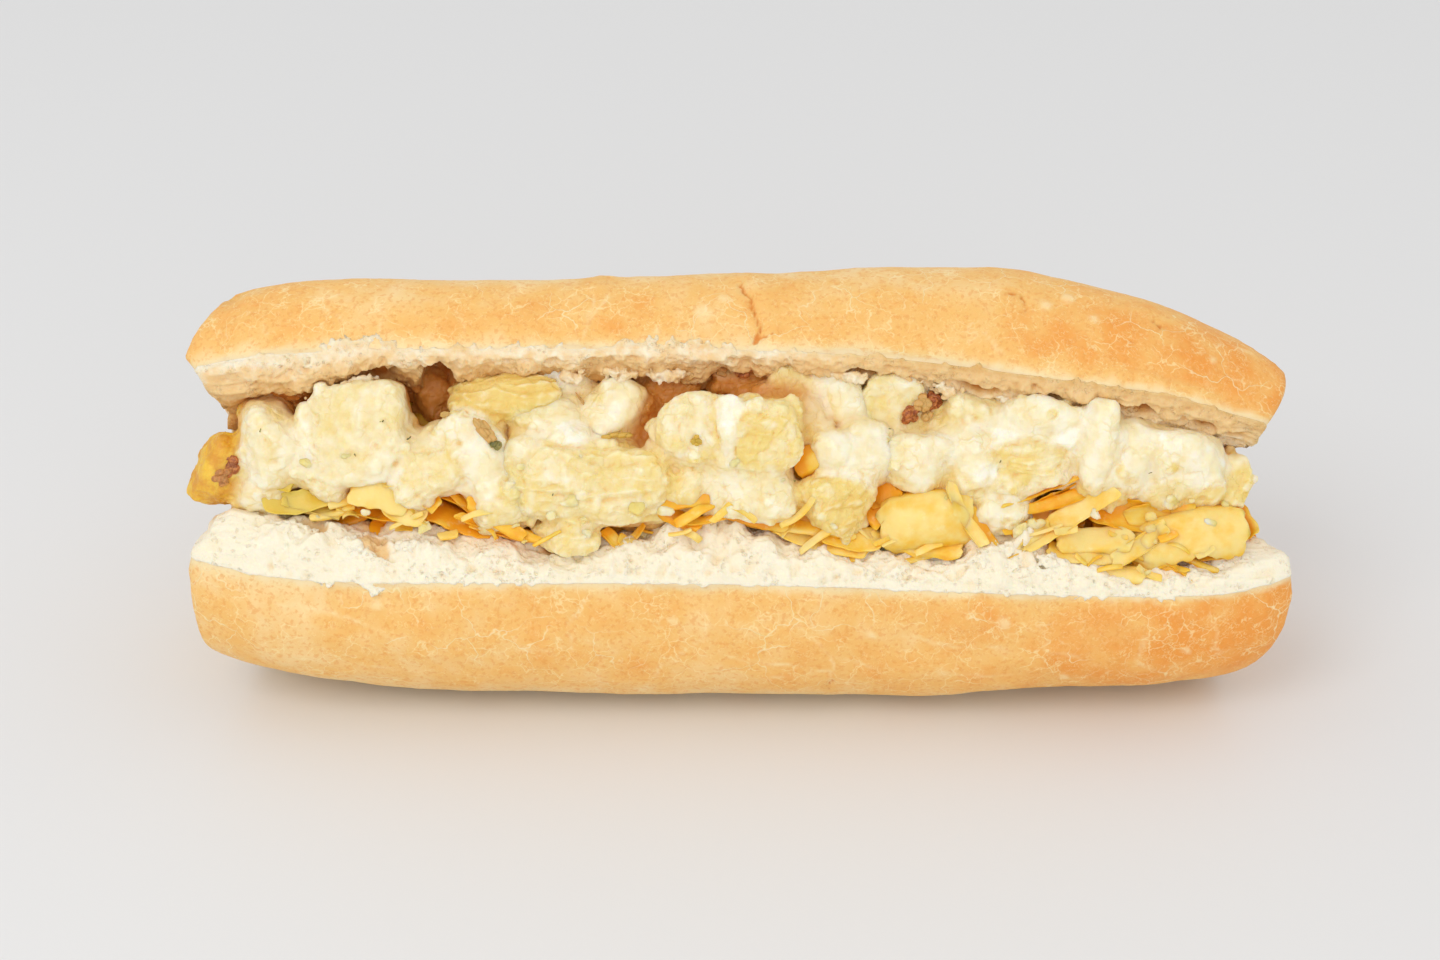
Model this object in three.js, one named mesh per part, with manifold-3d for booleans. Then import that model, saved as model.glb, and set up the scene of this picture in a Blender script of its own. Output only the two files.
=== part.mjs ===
// A long soft bread roll, split along its front and hinged along its back, that lies open on a flat
// surface around a layer of cheese shavings and a heap of creamy egg chunks.
// Millimetres, +Z up, +X along the roll, and the mouth faces -Y.
import * as THREE from "three";
import { ParametricGeometry } from "three/addons/geometries/ParametricGeometry.js";
import { mergeVertices } from "three/addons/utils/BufferGeometryUtils.js";
import Module from "manifold-3d";

const wasm = await Module();
wasm.setup();

// The roll's driving sizes
const ROLL_LENGTH = 199; // along its middle; its front lips reach a little further
const HALF_WIDTH = 29; // of the cut face, from its middle to its rim
const RIM_HEIGHT = 34.2; // front rim of the lower half above the surface
const RIM_DROP = 3.8; // how far that rim sinks towards the right end
const RIM_LIFT = 3; // and how far it rises at the left end
const LOWER_DEPTH = 31.5; // crust of the lower half below its cut face
const LOWER_THINNING = 5; // towards the right end
const LOWER_KEEL_LIFT = 3; // the underside rises at the left end
const UPPER_DEPTH = 21.2; // crust of the upper half above its cut face
const UPPER_SWELL = { by: 6.8, at: 50, reach: 40 }; // fuller towards the right
const LEFT_SWELL = { by: 2.2, at: -90, reach: 25 };
const LEAN_BACK = 7; // degrees that the lower half is rolled back
const OPEN_ANGLE = 51; // degrees of the upper half's cut face above level
const OPEN_LOSS = 6.5; // the right end is less open
const HINGE_INSET = 3;
const HINGE_RADIUS = 7;
const HINGE_CENTRE = { back: -4, up: 1 }; // from the line where the two halves meet
const HINGE_SHORTER = 18; // than the roll at each end
const CRUMB_SWELL = 5; // torn crumb that bulges out of a cut face
const SQUARENESS = 2.8; // exponent of the crust's rounded section
const WIDTH_ROUNDING = 5; // exponents of the blunt ends
const LOWER_ROUNDING = 10;
const UPPER_ROUNDING = 5;
// How far each end reaches past, or stays short of, the length: in all, from front to back, crustwards
const LOWER_RAKE = { all: -0.7, back: -2.9, crust: 1.3 };
const UPPER_RAKE = { all: -3.2, back: -4.8, crust: 4.2 };
const POLE_OFFSET = 0.35; // the tip of an end lies this share of the depth inside the crust
const CRUMB_RELIEF = 0.9; // of lumps about this far apart
const CRUMB_LUMP = 13;

// The filling's pieces
const BOXINESS = 3; // exponent of a chunk's soft corners
const CHUNK_LUMPS = 0.1;
const LUMP_SIZE = 11;
const CHUNK_NOD = 14; // degrees, at most
const SHAVING_TAPER = 0.3; // of its width, towards both ends
const SHAVING_TWIST = 0.12;

const GAP = 0.45; // clearance between neighbouring solids

// How finely each surface is divided
const RING_STEPS = 36;
const SECTION_STEPS = 24;
const HINGE_STEPS = [16, 10];
const MASS_STEPS = [24, 14];
const CHUNK_STEPS = [10, 7];
const SHAVING_STEPS = 5;

const rad = THREE.MathUtils.degToRad;
const smooth = (t) => THREE.MathUtils.smoothstep(t, 0, 1);
const bell = (t) => Math.exp(-t * t);
const signedPower = (v, e) => Math.sign(v) * Math.abs(v) ** e;

// Gentle lumps of about the given size in millimetres, from -1 to 1
function lumps(x, y, z, size, phase = 0) {
  const k = (2 * Math.PI) / size;
  const a = Math.sin(k * (x + 0.43 * y) + phase) * Math.cos(k * (0.81 * y - 0.37 * z) + 1.7 * phase);
  const b = Math.sin(k * (1.31 * z - 0.52 * x) + 2.3 * phase) * Math.cos(k * (0.64 * x + 0.9 * y));
  return 0.6 * a + 0.4 * b;
}

// A geometry as a solid, with its seams and poles welded
function solidOf(geometry) {
  const bare = geometry.clone();
  bare.deleteAttribute("normal");
  bare.deleteAttribute("uv");
  const merged = mergeVertices(bare, 1e-4);
  const index = merged.index.array;
  const faces = [];
  for (let i = 0; i < index.length; i += 3) {
    const [a, b, c] = [index[i], index[i + 1], index[i + 2]];
    if (a !== b && b !== c && c !== a) faces.push(a, b, c);
  }
  const mesh = new wasm.Mesh({
    numProp: 3,
    vertProperties: merged.attributes.position.array,
    triVerts: new Uint32Array(faces),
  });
  return new wasm.Manifold(mesh);
}

function geometryOf(solid) {
  const mesh = solid.getMesh();
  const geometry = new THREE.BufferGeometry();
  geometry.setAttribute("position", new THREE.BufferAttribute(mesh.vertProperties, 3));
  geometry.setIndex(new THREE.BufferAttribute(mesh.triVerts, 1));
  return geometry;
}

const union = (solids) => solids.reduce((all, one) => all.add(one));

// The largest connected piece, so that a crumb cut loose by a neighbour is dropped
function largest(solid) {
  const pieces = solid.decompose();
  return pieces.reduce((best, one) => (one.volume() > best.volume() ? one : best));
}

// Share of the full width, or depth, left at x: blunt ends with rounded shoulders
function endShare(x, exponent) {
  const s = Math.min(1, Math.abs(x) / (ROLL_LENGTH / 2));
  return (1 - s ** exponent) ** (1 / exponent);
}

const towardsRight = (x, from, to) => smooth((x - from) / (to - from));
const towardsLeft = (x, from, to) => smooth((from - x) / (from - to));
const widthAt = (x) => HALF_WIDTH * endShare(x, WIDTH_ROUNDING);
const openAngleAt = (x) => rad(OPEN_ANGLE - OPEN_LOSS * towardsRight(x, 10, 100));

function rimHeightAt(x) {
  return RIM_HEIGHT - RIM_DROP * towardsRight(x, -20, 100) + RIM_LIFT * towardsLeft(x, -75, -100);
}

function lowerDepthAt(x) {
  return LOWER_DEPTH - LOWER_THINNING * towardsRight(x, 0, 90) - LOWER_KEEL_LIFT * towardsLeft(x, -50, -90);
}

function upperDepthAt(x) {
  return UPPER_DEPTH + UPPER_SWELL.by * bell((x - UPPER_SWELL.at) / UPPER_SWELL.reach)
    + LEFT_SWELL.by * bell((x - LEFT_SWELL.at) / LEFT_SWELL.reach);
}

// Directions in the Y-Z plane: along a cut face from its front rim to the hinge, and out of its crust
function lowerFrameAt(x) {
  const lean = rad(LEAN_BACK);
  const along = new THREE.Vector2(Math.cos(lean), -Math.sin(lean));
  const front = new THREE.Vector2(-widthAt(x), rimHeightAt(x));
  return {
    front,
    along,
    crustward: new THREE.Vector2(-Math.sin(lean), -Math.cos(lean)),
    halfWidth: widthAt(x),
    depth: lowerDepthAt(x) * endShare(x, LOWER_ROUNDING),
    fullDepth: lowerDepthAt(x),
    rake: LOWER_RAKE,
  };
}

function hingeAt(x) {
  const { front, along, halfWidth } = lowerFrameAt(x);
  return front.clone().addScaledVector(along, Math.max(2 * halfWidth - HINGE_INSET, halfWidth));
}

function upperFrameAt(x) {
  const open = openAngleAt(x);
  const halfWidth = Math.max(widthAt(x) - HINGE_INSET / 2, widthAt(x) / 2);
  const along = new THREE.Vector2(Math.cos(open), -Math.sin(open));
  return {
    front: hingeAt(x).addScaledVector(along, -2 * halfWidth),
    along,
    crustward: new THREE.Vector2(Math.sin(open), Math.cos(open)),
    halfWidth,
    depth: upperDepthAt(x) * endShare(x, UPPER_ROUNDING),
    fullDepth: upperDepthAt(x),
    rake: UPPER_RAKE,
  };
}

// One half of the roll: a domed crust on one side of the cut face and torn crumb on the other
function rollHalf(frameAt, turn, grow = 0) {
  const point = (u, v, target) => {
    const s = Math.sin((u - 0.5) * Math.PI);
    const x = (s * ROLL_LENGTH) / 2;
    const { front, along, crustward, halfWidth, depth, fullDepth, rake } = frameAt(x);
    const angle = turn * v * 2 * Math.PI;
    const across = -signedPower(Math.cos(angle), 2 / SQUARENESS);
    const out = signedPower(Math.sin(angle), 2 / SQUARENESS);
    const share = depth / fullDepth;
    const edge = share > 0 ? grow : 0;
    const middle = front.clone().addScaledVector(along, halfWidth);
    middle.addScaledVector(crustward, POLE_OFFSET * fullDepth * (1 - share));
    const swell = CRUMB_SWELL * share;
    const relief = CRUMB_RELIEF * share * lumps(x, across * halfWidth, 0, CRUMB_LUMP, turn);
    const height = out > 0 ? depth + edge : swell + relief + edge;
    middle.addScaledVector(along, across * (halfWidth + edge));
    middle.addScaledVector(crustward, out * height);
    const slant = share > 0 ? rake.back * across + rake.crust * out : rake.crust * POLE_OFFSET;
    const reach = s ** 3 * (rake.all + slant);
    target.set(x + reach + 1.5 * edge * s, middle.x, Math.max(middle.y, -edge));
  };
  return solidOf(new ParametricGeometry(point, RING_STEPS, SECTION_STEPS));
}

// The uncut bread along the back, as a soft round fold
function hinge(grow = 0) {
  const reach = ROLL_LENGTH / 2 - HINGE_SHORTER;
  const point = (u, v, target) => {
    const s = Math.sin((u - 0.5) * Math.PI);
    const x = s * reach;
    const radius = (HINGE_RADIUS + grow) * endShare(s * (ROLL_LENGTH / 2), WIDTH_ROUNDING);
    const centre = hingeAt(x);
    const angle = -v * 2 * Math.PI;
    const y = centre.x + HINGE_CENTRE.back + radius * Math.cos(angle);
    target.set(x, y, centre.y + HINGE_CENTRE.up + radius * Math.sin(angle));
  };
  return solidOf(new ParametricGeometry(point, ...HINGE_STEPS));
}

// A place in the mouth: rise runs from the lower lip, 0, to the upper lip, 1, and out is the distance
// in front of the plane through both lips. The axes are +X, up along the mouth, and outwards.
function mouthFrame(x, rise, out) {
  const inner = THREE.MathUtils.clamp(x, -90, 90);
  const low = lowerFrameAt(inner).front;
  const high = upperFrameAt(inner).front;
  const up = high.clone().sub(low).normalize();
  const outward = new THREE.Vector2(-up.y, up.x);
  const at = low.clone().lerp(high, rise).addScaledVector(outward, out);
  return new THREE.Matrix4()
    .makeBasis(
      new THREE.Vector3(1, 0, 0),
      new THREE.Vector3(0, up.x, up.y),
      new THREE.Vector3(0, outward.x, outward.y),
    )
    .setPosition(x, at.x, at.y);
}

// A rounded, slightly uneven block, with a soft box's section
function chunk({ x, rise, out, size, turn = 0 }, number, grow = 0) {
  const geometry = new THREE.SphereGeometry(1, ...CHUNK_STEPS);
  const [a, b, c] = size.map((v) => v / 2 + grow);
  const position = geometry.getAttribute("position");
  const v = new THREE.Vector3();
  for (let i = 0; i < position.count; i++) {
    v.fromBufferAttribute(position, i);
    const reach = Math.abs(v.x / a) ** BOXINESS + Math.abs(v.y / b) ** BOXINESS + Math.abs(v.z / c) ** BOXINESS;
    v.multiplyScalar(reach ** (-1 / BOXINESS));
    v.multiplyScalar(1 + CHUNK_LUMPS * lumps(v.x, v.y, v.z, LUMP_SIZE, number));
    position.setXYZ(i, v.x, v.y, v.z);
  }
  const tilt = new THREE.Matrix4().makeRotationZ(rad(turn));
  const nod = new THREE.Matrix4().makeRotationX(rad(CHUNK_NOD * Math.sin(number * 2.1)));
  geometry.applyMatrix4(tilt.multiply(nod));
  geometry.applyMatrix4(mouthFrame(x, rise, out));
  return solidOf(geometry);
}

// A curved shaving: length along the roll, turned in the mouth's plane and tipped to face outwards
function shaving({ x, rise, out, size, bend = 3, turn = 0, tip = 50 }, number, grow = 0) {
  const [length, width, thickness] = size;
  const geometry = new THREE.BoxGeometry(length, width, thickness, SHAVING_STEPS, 1, 1);
  const position = geometry.getAttribute("position");
  for (let i = 0; i < position.count; i++) {
    const end = Math.abs(position.getX(i)) > 0.49 * length ? Math.sign(position.getX(i)) : 0;
    const along = position.getX(i) + end * grow;
    const t = (2 * along) / length;
    const w = Math.sign(position.getY(i));
    const side = Math.sign(position.getZ(i));
    const taper = 1 - SHAVING_TAPER * t * t;
    const twist = SHAVING_TWIST * width * w * Math.sin(2.2 * t + number);
    position.setX(i, along);
    position.setY(i, w * ((taper * width) / 2 + grow) + 0.1 * length * t * t * Math.sin(number));
    position.setZ(i, side * (thickness / 2 + grow) + bend * (t * t - 0.4) + twist);
  }
  const tipped = new THREE.Matrix4().makeRotationX(rad(tip - 90));
  const turned = new THREE.Matrix4().makeRotationZ(rad(turn));
  geometry.applyMatrix4(turned.multiply(tipped));
  geometry.applyMatrix4(mouthFrame(x, rise, out));
  return solidOf(geometry);
}

// A filling's inner mass, which runs through the roll: an oval in the mouth's section
function innerMass({ from, to, rise, out, height, depth }, grow = 0) {
  const point = (u, v, target) => {
    const s = Math.sin((u - 0.5) * Math.PI);
    const x = (from + to) / 2 + (s * (to - from + 2 * grow)) / 2;
    const share = (1 - Math.abs(s) ** 6) ** (1 / 6);
    const angle = v * 2 * Math.PI;
    const edge = share > 0 ? grow : 0;
    const lift = signedPower(Math.sin(angle), 0.8) * ((height / 2) * share + edge);
    const reach = signedPower(Math.cos(angle), 0.8) * ((depth / 2) * share + edge);
    target.set(0, lift + share * lumps(x, 0, reach, 24), reach);
    target.applyMatrix4(mouthFrame(x, rise, out));
  };
  return solidOf(new ParametricGeometry(point, ...MASS_STEPS));
}

// Egg chunks that show in the mouth, from left to right: the front row, then those behind and above
const EGG_MASS = { from: -85, to: 86, rise: 0.62, out: -26, height: 31, depth: 44 };
const EGG_CHUNKS = [
  { x: -93, rise: 0.47, out: -8, size: [16, 15, 16], turn: -8 },
  { x: -84, rise: 0.56, out: -5, size: [17, 19, 16], turn: 12 },
  { x: -67, rise: 0.61, out: -3, size: [21, 20, 18], turn: 4 },
  { x: -55, rise: 0.53, out: -2, size: [17, 16, 15], turn: 30 },
  { x: -42, rise: 0.79, out: -6, size: [21, 14, 16], turn: -14 },
  { x: -40, rise: 0.38, out: -4, size: [17, 14, 15], turn: 10 },
  { x: -33, rise: 0.47, out: -2, size: [22, 20, 15], turn: -10 },
  { x: -20, rise: 0.42, out: -2, size: [21, 18, 16], turn: 8 },
  { x: -25, rise: 0.75, out: -8, size: [19, 13, 16], turn: 14 },
  { x: -2, rise: 0.68, out: -1, size: [31, 17, 17], turn: 4 },
  { x: 11, rise: 0.82, out: -6, size: [16, 12, 14], turn: 28 },
  { x: 4, rise: 0.39, out: -5, size: [35, 12, 17], turn: -4 },
  { x: 22, rise: 0.57, out: -4, size: [16, 17, 15], turn: 40 },
  { x: 34, rise: 0.83, out: -7, size: [22, 13, 16], turn: -6 },
  { x: 41, rise: 0.55, out: -5, size: [23, 15, 16], turn: -12 },
  { x: 55, rise: 0.74, out: -5, size: [25, 16, 17], turn: -10 },
  { x: 69, rise: 0.72, out: -5, size: [16, 20, 16], turn: 10 },
  { x: 82, rise: 0.7, out: -7, size: [23, 17, 18], turn: -16 },
];

const CHEESE_BED = { from: -76, to: 93, rise: 0.24, out: -21, height: 9, depth: 31 };
const CHEESE_SHAVINGS = [
  { x: -67, rise: 0.4, out: -3, size: [18, 9, 2.2], turn: -8, tip: 60 },
  { x: -61, rise: 0.36, out: -2, size: [14, 10, 2.4], turn: 10, tip: 75 },
  { x: -53, rise: 0.33, out: -1, size: [12, 9, 2.4], turn: -25, tip: 80 },
  { x: -48, rise: 0.27, out: -3, size: [20, 7, 2], turn: -32, tip: 45 },
  { x: -38, rise: 0.19, out: -5, size: [20, 8, 2], turn: -12, tip: 40 },
  { x: -22, rise: 0.16, out: -6, size: [14, 9, 2.2], turn: -14, tip: 55 },
  { x: -6, rise: 0.33, out: -5, size: [16, 8, 2], turn: 6, tip: 35 },
  { x: 8, rise: 0.26, out: -5, size: [30, 9, 2.2], turn: -12, tip: 40 },
  { x: 20, rise: 0.3, out: -4, size: [18, 11, 2.4], turn: 20, tip: 60 },
  { x: 33, rise: 0.26, out: -2, size: [22, 16, 2.8], bend: 5, turn: 6, tip: 78 },
  { x: 27, rise: 0.17, out: -5, size: [16, 9, 2.2], turn: -10, tip: 50 },
  { x: 40, rise: 0.3, out: -3, size: [14, 12, 2.4], bend: 4, turn: -50, tip: 70 },
  { x: 57, rise: 0.42, out: -3, size: [28, 8, 2.2], bend: 4, turn: 16, tip: 55 },
  { x: 62, rise: 0.33, out: -2, size: [28, 9, 2.4], bend: 5, turn: 24, tip: 60 },
  { x: 72, rise: 0.36, out: -3, size: [22, 12, 2.2], bend: -4, turn: -6, tip: 65 },
  { x: 66, rise: 0.2, out: -2, size: [22, 10, 2.2], turn: 8, tip: 60 },
  { x: 81, rise: 0.26, out: -3, size: [20, 14, 2.8], bend: 3, turn: 12, tip: 75 },
  { x: 68, rise: 0.08, out: -3, size: [16, 8, 2.2], turn: -4, tip: 55 },
  { x: 80, rise: 0.11, out: -3, size: [18, 7, 2], turn: 14, tip: 50 },
  { x: 84, rise: 0.15, out: -5, size: [12, 8, 2], turn: -24, tip: 50 },
];

function roll(grow = 0) {
  return union([rollHalf(lowerFrameAt, -1, grow), rollHalf(upperFrameAt, 1, grow), hinge(grow)]);
}

function cheeseLayer(grow = 0) {
  const pieces = CHEESE_SHAVINGS.map((one, i) => shaving(one, i, grow));
  return union([innerMass(CHEESE_BED, grow), ...pieces]);
}

function eggHeap() {
  return union([innerMass(EGG_MASS), ...EGG_CHUNKS.map((one, i) => chunk(one, i))]);
}

function named(name, solid, colour, roughness) {
  const material = new THREE.MeshStandardMaterial({ color: colour, roughness, metalness: 0 });
  const mesh = new THREE.Mesh(geometryOf(solid), material);
  mesh.name = name;
  return mesh;
}

const bread = roll();
const breadSpace = roll(GAP);
const cheese = largest(cheeseLayer().subtract(breadSpace));
const egg = largest(eggHeap().subtract(breadSpace).subtract(cheeseLayer(GAP)));

const sandwich = new THREE.Group();
sandwich.add(named("bread_roll", bread, 0xe3ad68, 0.75));
sandwich.add(named("cheese_shavings", cheese, 0xf3c24a, 0.5));
sandwich.add(named("egg_chunks", egg, 0xf2e6b0, 0.45));

// The origin is below the middle of the whole, on the surface that it lies on
const extent = new THREE.Box3().setFromObject(sandwich);
const middle = extent.getCenter(new THREE.Vector3());
for (const mesh of sandwich.children) mesh.position.set(-middle.x, -middle.y, -extent.min.z);

export default sandwich;
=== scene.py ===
# %% [markdown]
# # A filled egg and cheese sub roll
# A long soft roll is split along its front around a heap of dressed egg chunks on cheese shavings. Every
# shape is worked out with numpy, in millimetres, and only becomes a Blender mesh at the end of its cell.

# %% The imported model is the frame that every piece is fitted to
import bpy
import numpy as np
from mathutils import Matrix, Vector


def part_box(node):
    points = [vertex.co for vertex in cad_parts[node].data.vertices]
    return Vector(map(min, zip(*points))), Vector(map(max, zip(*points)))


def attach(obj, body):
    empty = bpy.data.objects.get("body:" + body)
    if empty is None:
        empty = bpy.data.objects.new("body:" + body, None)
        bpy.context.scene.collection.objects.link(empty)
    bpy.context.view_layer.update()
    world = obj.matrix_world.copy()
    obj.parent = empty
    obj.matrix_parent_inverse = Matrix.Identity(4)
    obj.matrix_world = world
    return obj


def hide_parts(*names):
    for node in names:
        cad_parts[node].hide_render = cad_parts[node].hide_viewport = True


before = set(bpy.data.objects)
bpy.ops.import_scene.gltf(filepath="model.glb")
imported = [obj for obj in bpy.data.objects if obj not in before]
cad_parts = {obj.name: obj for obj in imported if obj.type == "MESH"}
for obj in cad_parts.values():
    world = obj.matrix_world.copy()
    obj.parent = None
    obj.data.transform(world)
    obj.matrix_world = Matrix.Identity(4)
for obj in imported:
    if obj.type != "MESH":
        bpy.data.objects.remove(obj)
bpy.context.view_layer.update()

MM = 0.001
# The CAD node that a piece stands for, and the slot of its material
BREAD, EGG, CHEESE = ("bread_roll", "roll_crust"), ("egg_chunks", "egg"), ("cheese_shavings", "cheese")

# %% [markdown]
# ## Noise
# Bread, egg and cheese are uneven at every scale. A shader can fake that on a flat surface, but the
# outline stays smooth, so the relief here moves vertices. Gradient noise gives soft lumps. Cellular
# noise, the distance to the nearest of many scattered points, gives bubbles in a dough and grains in a
# curd. Both take arrays of points, so there is no loop over vertices.

# %% A repeatable random number for each whole-numbered cell of space
HASH_FACTORS = (374761393, 668265263, 1440662683)


def cell_random(cells, seed):
    """From 0 to 1: the cell's three whole numbers and the seed, multiplied by primes and mixed."""
    i, j, k = (cells[..., axis].astype(np.int64) for axis in range(3))
    mixed = i * HASH_FACTORS[0] + j * HASH_FACTORS[1] + k * HASH_FACTORS[2] + seed * 974634777
    mixed = (mixed ^ (mixed >> 13)) * 1274126177
    return ((mixed ^ (mixed >> 16)) & 0xFFFFFF) / float(0xFFFFFF)


def smoothstep(low, high, value):
    """0 below low, 1 above high and a soft step, 3t squared less 2t cubed, between them."""
    t = np.clip((value - low) / (high - low), 0.0, 1.0)
    return t * t * (3.0 - 2.0 * t)


def draws(chance, *ranges):
    """A random number from each range in turn."""
    return tuple(chance.uniform(*ends) for ends in ranges)


# %% Gradient noise: soft lumps of one size
CORNERS = [(i, j, k) for i in (0, 1) for j in (0, 1) for k in (0, 1)]


def noise(points, size, seed=0):
    """From about -1 to 1: at each corner of a point's cell, a random direction times the way from the
    corner to the point, blended between the corners by the quintic 6t^5 - 15t^4 + 10t^3."""
    scaled = points / size
    base = np.floor(scaled)
    offset = scaled - base
    fade = offset ** 3 * (offset * (offset * 6.0 - 15.0) + 10.0)
    total = np.zeros(points.shape[:-1])
    for corner in CORNERS:
        cell = base + corner
        way = offset - corner
        slope = sum((cell_random(cell, seed * 3 + axis) - 0.5) * way[..., axis] for axis in range(3))
        weight = np.prod(np.where(corner, fade, 1.0 - fade), axis=-1)
        total += weight * slope
    return total * 3.2


def layered_noise(points, size, seed=0, layers=3, gain=0.5):
    """Noise of the given size plus ever smaller noise: each layer half the size and gain the height."""
    return sum(gain ** i * noise(points, size * 0.5 ** i, seed + 17 * i) for i in range(layers))


# %% Cellular noise: distances to scattered points
NEIGHBOURS = np.array([(i, j, k) for i in (-1, 0, 1) for j in (-1, 0, 1) for k in (-1, 0, 1)])


def cells(points, size, seed=0):
    """(nearest, second, own): distances to the two nearest scattered points, in cell sizes, and the
    nearest one's own random number. One point lies at a random place in each cell."""
    scaled = points / size
    base = np.floor(scaled)
    nearest = np.full(points.shape[:-1], 9.0)
    second = nearest.copy()
    own = np.zeros(points.shape[:-1])
    for step in NEIGHBOURS:
        cell = base + step
        spot = cell + np.stack([cell_random(cell, seed + axis) for axis in range(3)], axis=-1)
        distance = np.linalg.norm(scaled - spot, axis=-1)
        closer = distance < nearest
        second = np.where(closer, nearest, np.minimum(second, distance))
        own = np.where(closer, cell_random(cell, seed + 5), own)
        nearest = np.where(closer, distance, nearest)
    return nearest, second, own


print("noise of three points:", np.round(noise(np.array([[1.0, 2, 3], [4, 5, 6], [7, 8, 9]]), 5.0), 3))

# %% [markdown]
# ## From arrays to meshes
# A surface that is a function of two parameters is a grid of points. Here the first parameter runs along
# the roll and the second once round it, so the grid closes on itself, and one extra point closes each end.

# %% Mesh helpers
def skin_faces(rings, around):
    """Quads between neighbouring rings of a closed tube, and a fan of triangles to each end's point.
    The two end points come after all the rings."""
    ring, here = np.arange(rings - 1)[:, None] * around, np.arange(around)
    there, end = (here + 1) % around, (rings - 1) * around
    quads = np.stack([ring + here, ring + there, ring + around + there, ring + around + here], axis=-1)
    first = np.full(around, rings * around)
    fans = np.stack([first, there, here], axis=-1), np.stack([first + 1, end + here, end + there], axis=-1)
    return quads.reshape(-1, 4), np.concatenate(fans)


def new_mesh(name, points, *faces):
    """A Blender mesh of points in millimetres and arrays of faces, with smooth shading."""
    corners = np.concatenate([part.ravel() for part in faces]).astype(np.int32)
    counts = np.concatenate([np.full(len(part), part.shape[1]) for part in faces]).astype(np.int32)
    mesh = bpy.data.meshes.new(name)
    mesh.vertices.add(len(points))
    mesh.vertices.foreach_set("co", (points * MM).astype(np.float32).ravel())
    mesh.loops.add(len(corners))
    mesh.loops.foreach_set("vertex_index", corners)
    mesh.polygons.add(len(counts))
    mesh.polygons.foreach_set("loop_start", (np.cumsum(counts) - counts).astype(np.int32))
    mesh.polygons.foreach_set("loop_total", counts)
    mesh.update(calc_edges=True)
    mesh.validate()
    mesh.shade_smooth()
    return mesh


def closed(grid):
    """A grid's values ring by ring, and then the means of its two end rings."""
    return np.concatenate([grid.reshape(-1, *grid.shape[2:]), grid[[0, -1]].mean(axis=1)])


def mark(mesh, **values):
    """Stores one number for each vertex under each name, for the piece's material to read."""
    for name, value in values.items():
        numbers = np.broadcast_to(value, len(mesh.vertices)).astype(np.float32)
        mesh.attributes.new(name, "FLOAT", "POINT").data.foreach_set("value", numbers)


def show(name, data):
    """A new object of some data, linked to the scene."""
    thing = bpy.data.objects.new(name, data)
    bpy.context.scene.collection.objects.link(thing)
    return thing


def add_piece(mesh, material, node, slot):
    """Shows a mesh as a piece of its name that rides on the root body and stands for a CAD node."""
    piece = show(mesh.name, mesh)
    mesh.materials.append(material)
    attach(piece, "root")
    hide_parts(node)
    mesh.calc_loop_triangles()
    print(f"{mesh.name}: {len(mesh.loop_triangles)} triangles")


def mesh_points(mesh):
    """(positions in millimetres, normals) of a mesh's vertices."""
    points, normals = np.empty((2, len(mesh.vertices) * 3))
    mesh.vertices.foreach_get("co", points)
    mesh.vertex_normals.foreach_get("vector", normals)
    return points.reshape(-1, 3) / MM, normals.reshape(-1, 3)


def table(text, *widths):
    """Rows of numbers from text, each cut into groups of the given widths. A group of one is a number."""
    rows = np.array(text.split(), float).reshape(-1, sum(widths)).tolist()
    groups = [(end - width, end) for width, end in zip(widths, np.cumsum(widths))]
    return [tuple(row[a] if b - a == 1 else tuple(row[a:b]) for a, b in groups) for row in rows]


# %% [markdown]
# ## Shader maths as expressions
# A material is a graph of nodes. Writing it as sums and products is easier to read than wiring, so this
# small class wraps one output socket, and an operator on it adds the node that works it out.

# %% The socket wrapper
class Sock:
    """One output socket of a material's nodes, with the usual operators."""

    def __init__(self, tree, out):
        self.tree, self.out = tree, out

    def feed(self, socket, value):
        """Links a socket to another one's value, or sets it to a constant."""
        if isinstance(value, Sock):
            self.tree.links.new(value.out, socket)
        else:
            socket.default_value = value

    def node(self, kind, settings=(), inputs=(), output=0):
        """Adds any node: its settings are set first, and then values or links go to its sockets."""
        node = self.tree.nodes.new(kind)
        for key, value in dict(settings).items():
            setattr(node, key, value)
        for key, value in dict(inputs).items():
            self.feed(node.inputs[key], value)
        return Sock(self.tree, node.outputs[output])

    def maths(self, operation, *values):
        return self.node("ShaderNodeMath", {"operation": operation}, dict(enumerate(values)))

    def __add__(self, other):
        return self.maths("ADD", self, other)

    def __sub__(self, other):
        return self.maths("SUBTRACT", self, other)

    def __rsub__(self, other):
        return self.maths("SUBTRACT", other, self)

    def __mul__(self, other):
        return self.maths("MULTIPLY", self, other)

    __radd__, __rmul__ = __add__, __mul__

    def step(self, low, high):
        """A soft step of this value from 0 at low to 1 at high."""
        settings = {"interpolation_type": "SMOOTHSTEP"}
        return self.node("ShaderNodeMapRange", settings, {"Value": self, "From Min": low, "From Max": high})

    def mix(self, low, high):
        """The colour low where this value is 0, and high where it is 1."""
        ends = {6: colour_value(low), 7: colour_value(high)}
        return self.node("ShaderNodeMix", {"data_type": "RGBA"}, {"Factor": self, **ends}, output=2)


def colour_value(colour):
    """A socket, or a colour given by its 0 to 255 screen numbers, as the linear light of shaders."""
    if isinstance(colour, Sock):
        return colour
    share = np.array(colour) / 255.0
    return (*np.where(share > 0.04045, ((share + 0.055) / 1.055) ** 2.4, share / 12.92).tolist(), 1.0)


def coats(surface, *layers):
    """Colours laid over a surface in turn. Each layer is its amount and its colour."""
    for amount, colour in layers:
        surface = amount.mix(surface, colour)
    return surface


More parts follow.
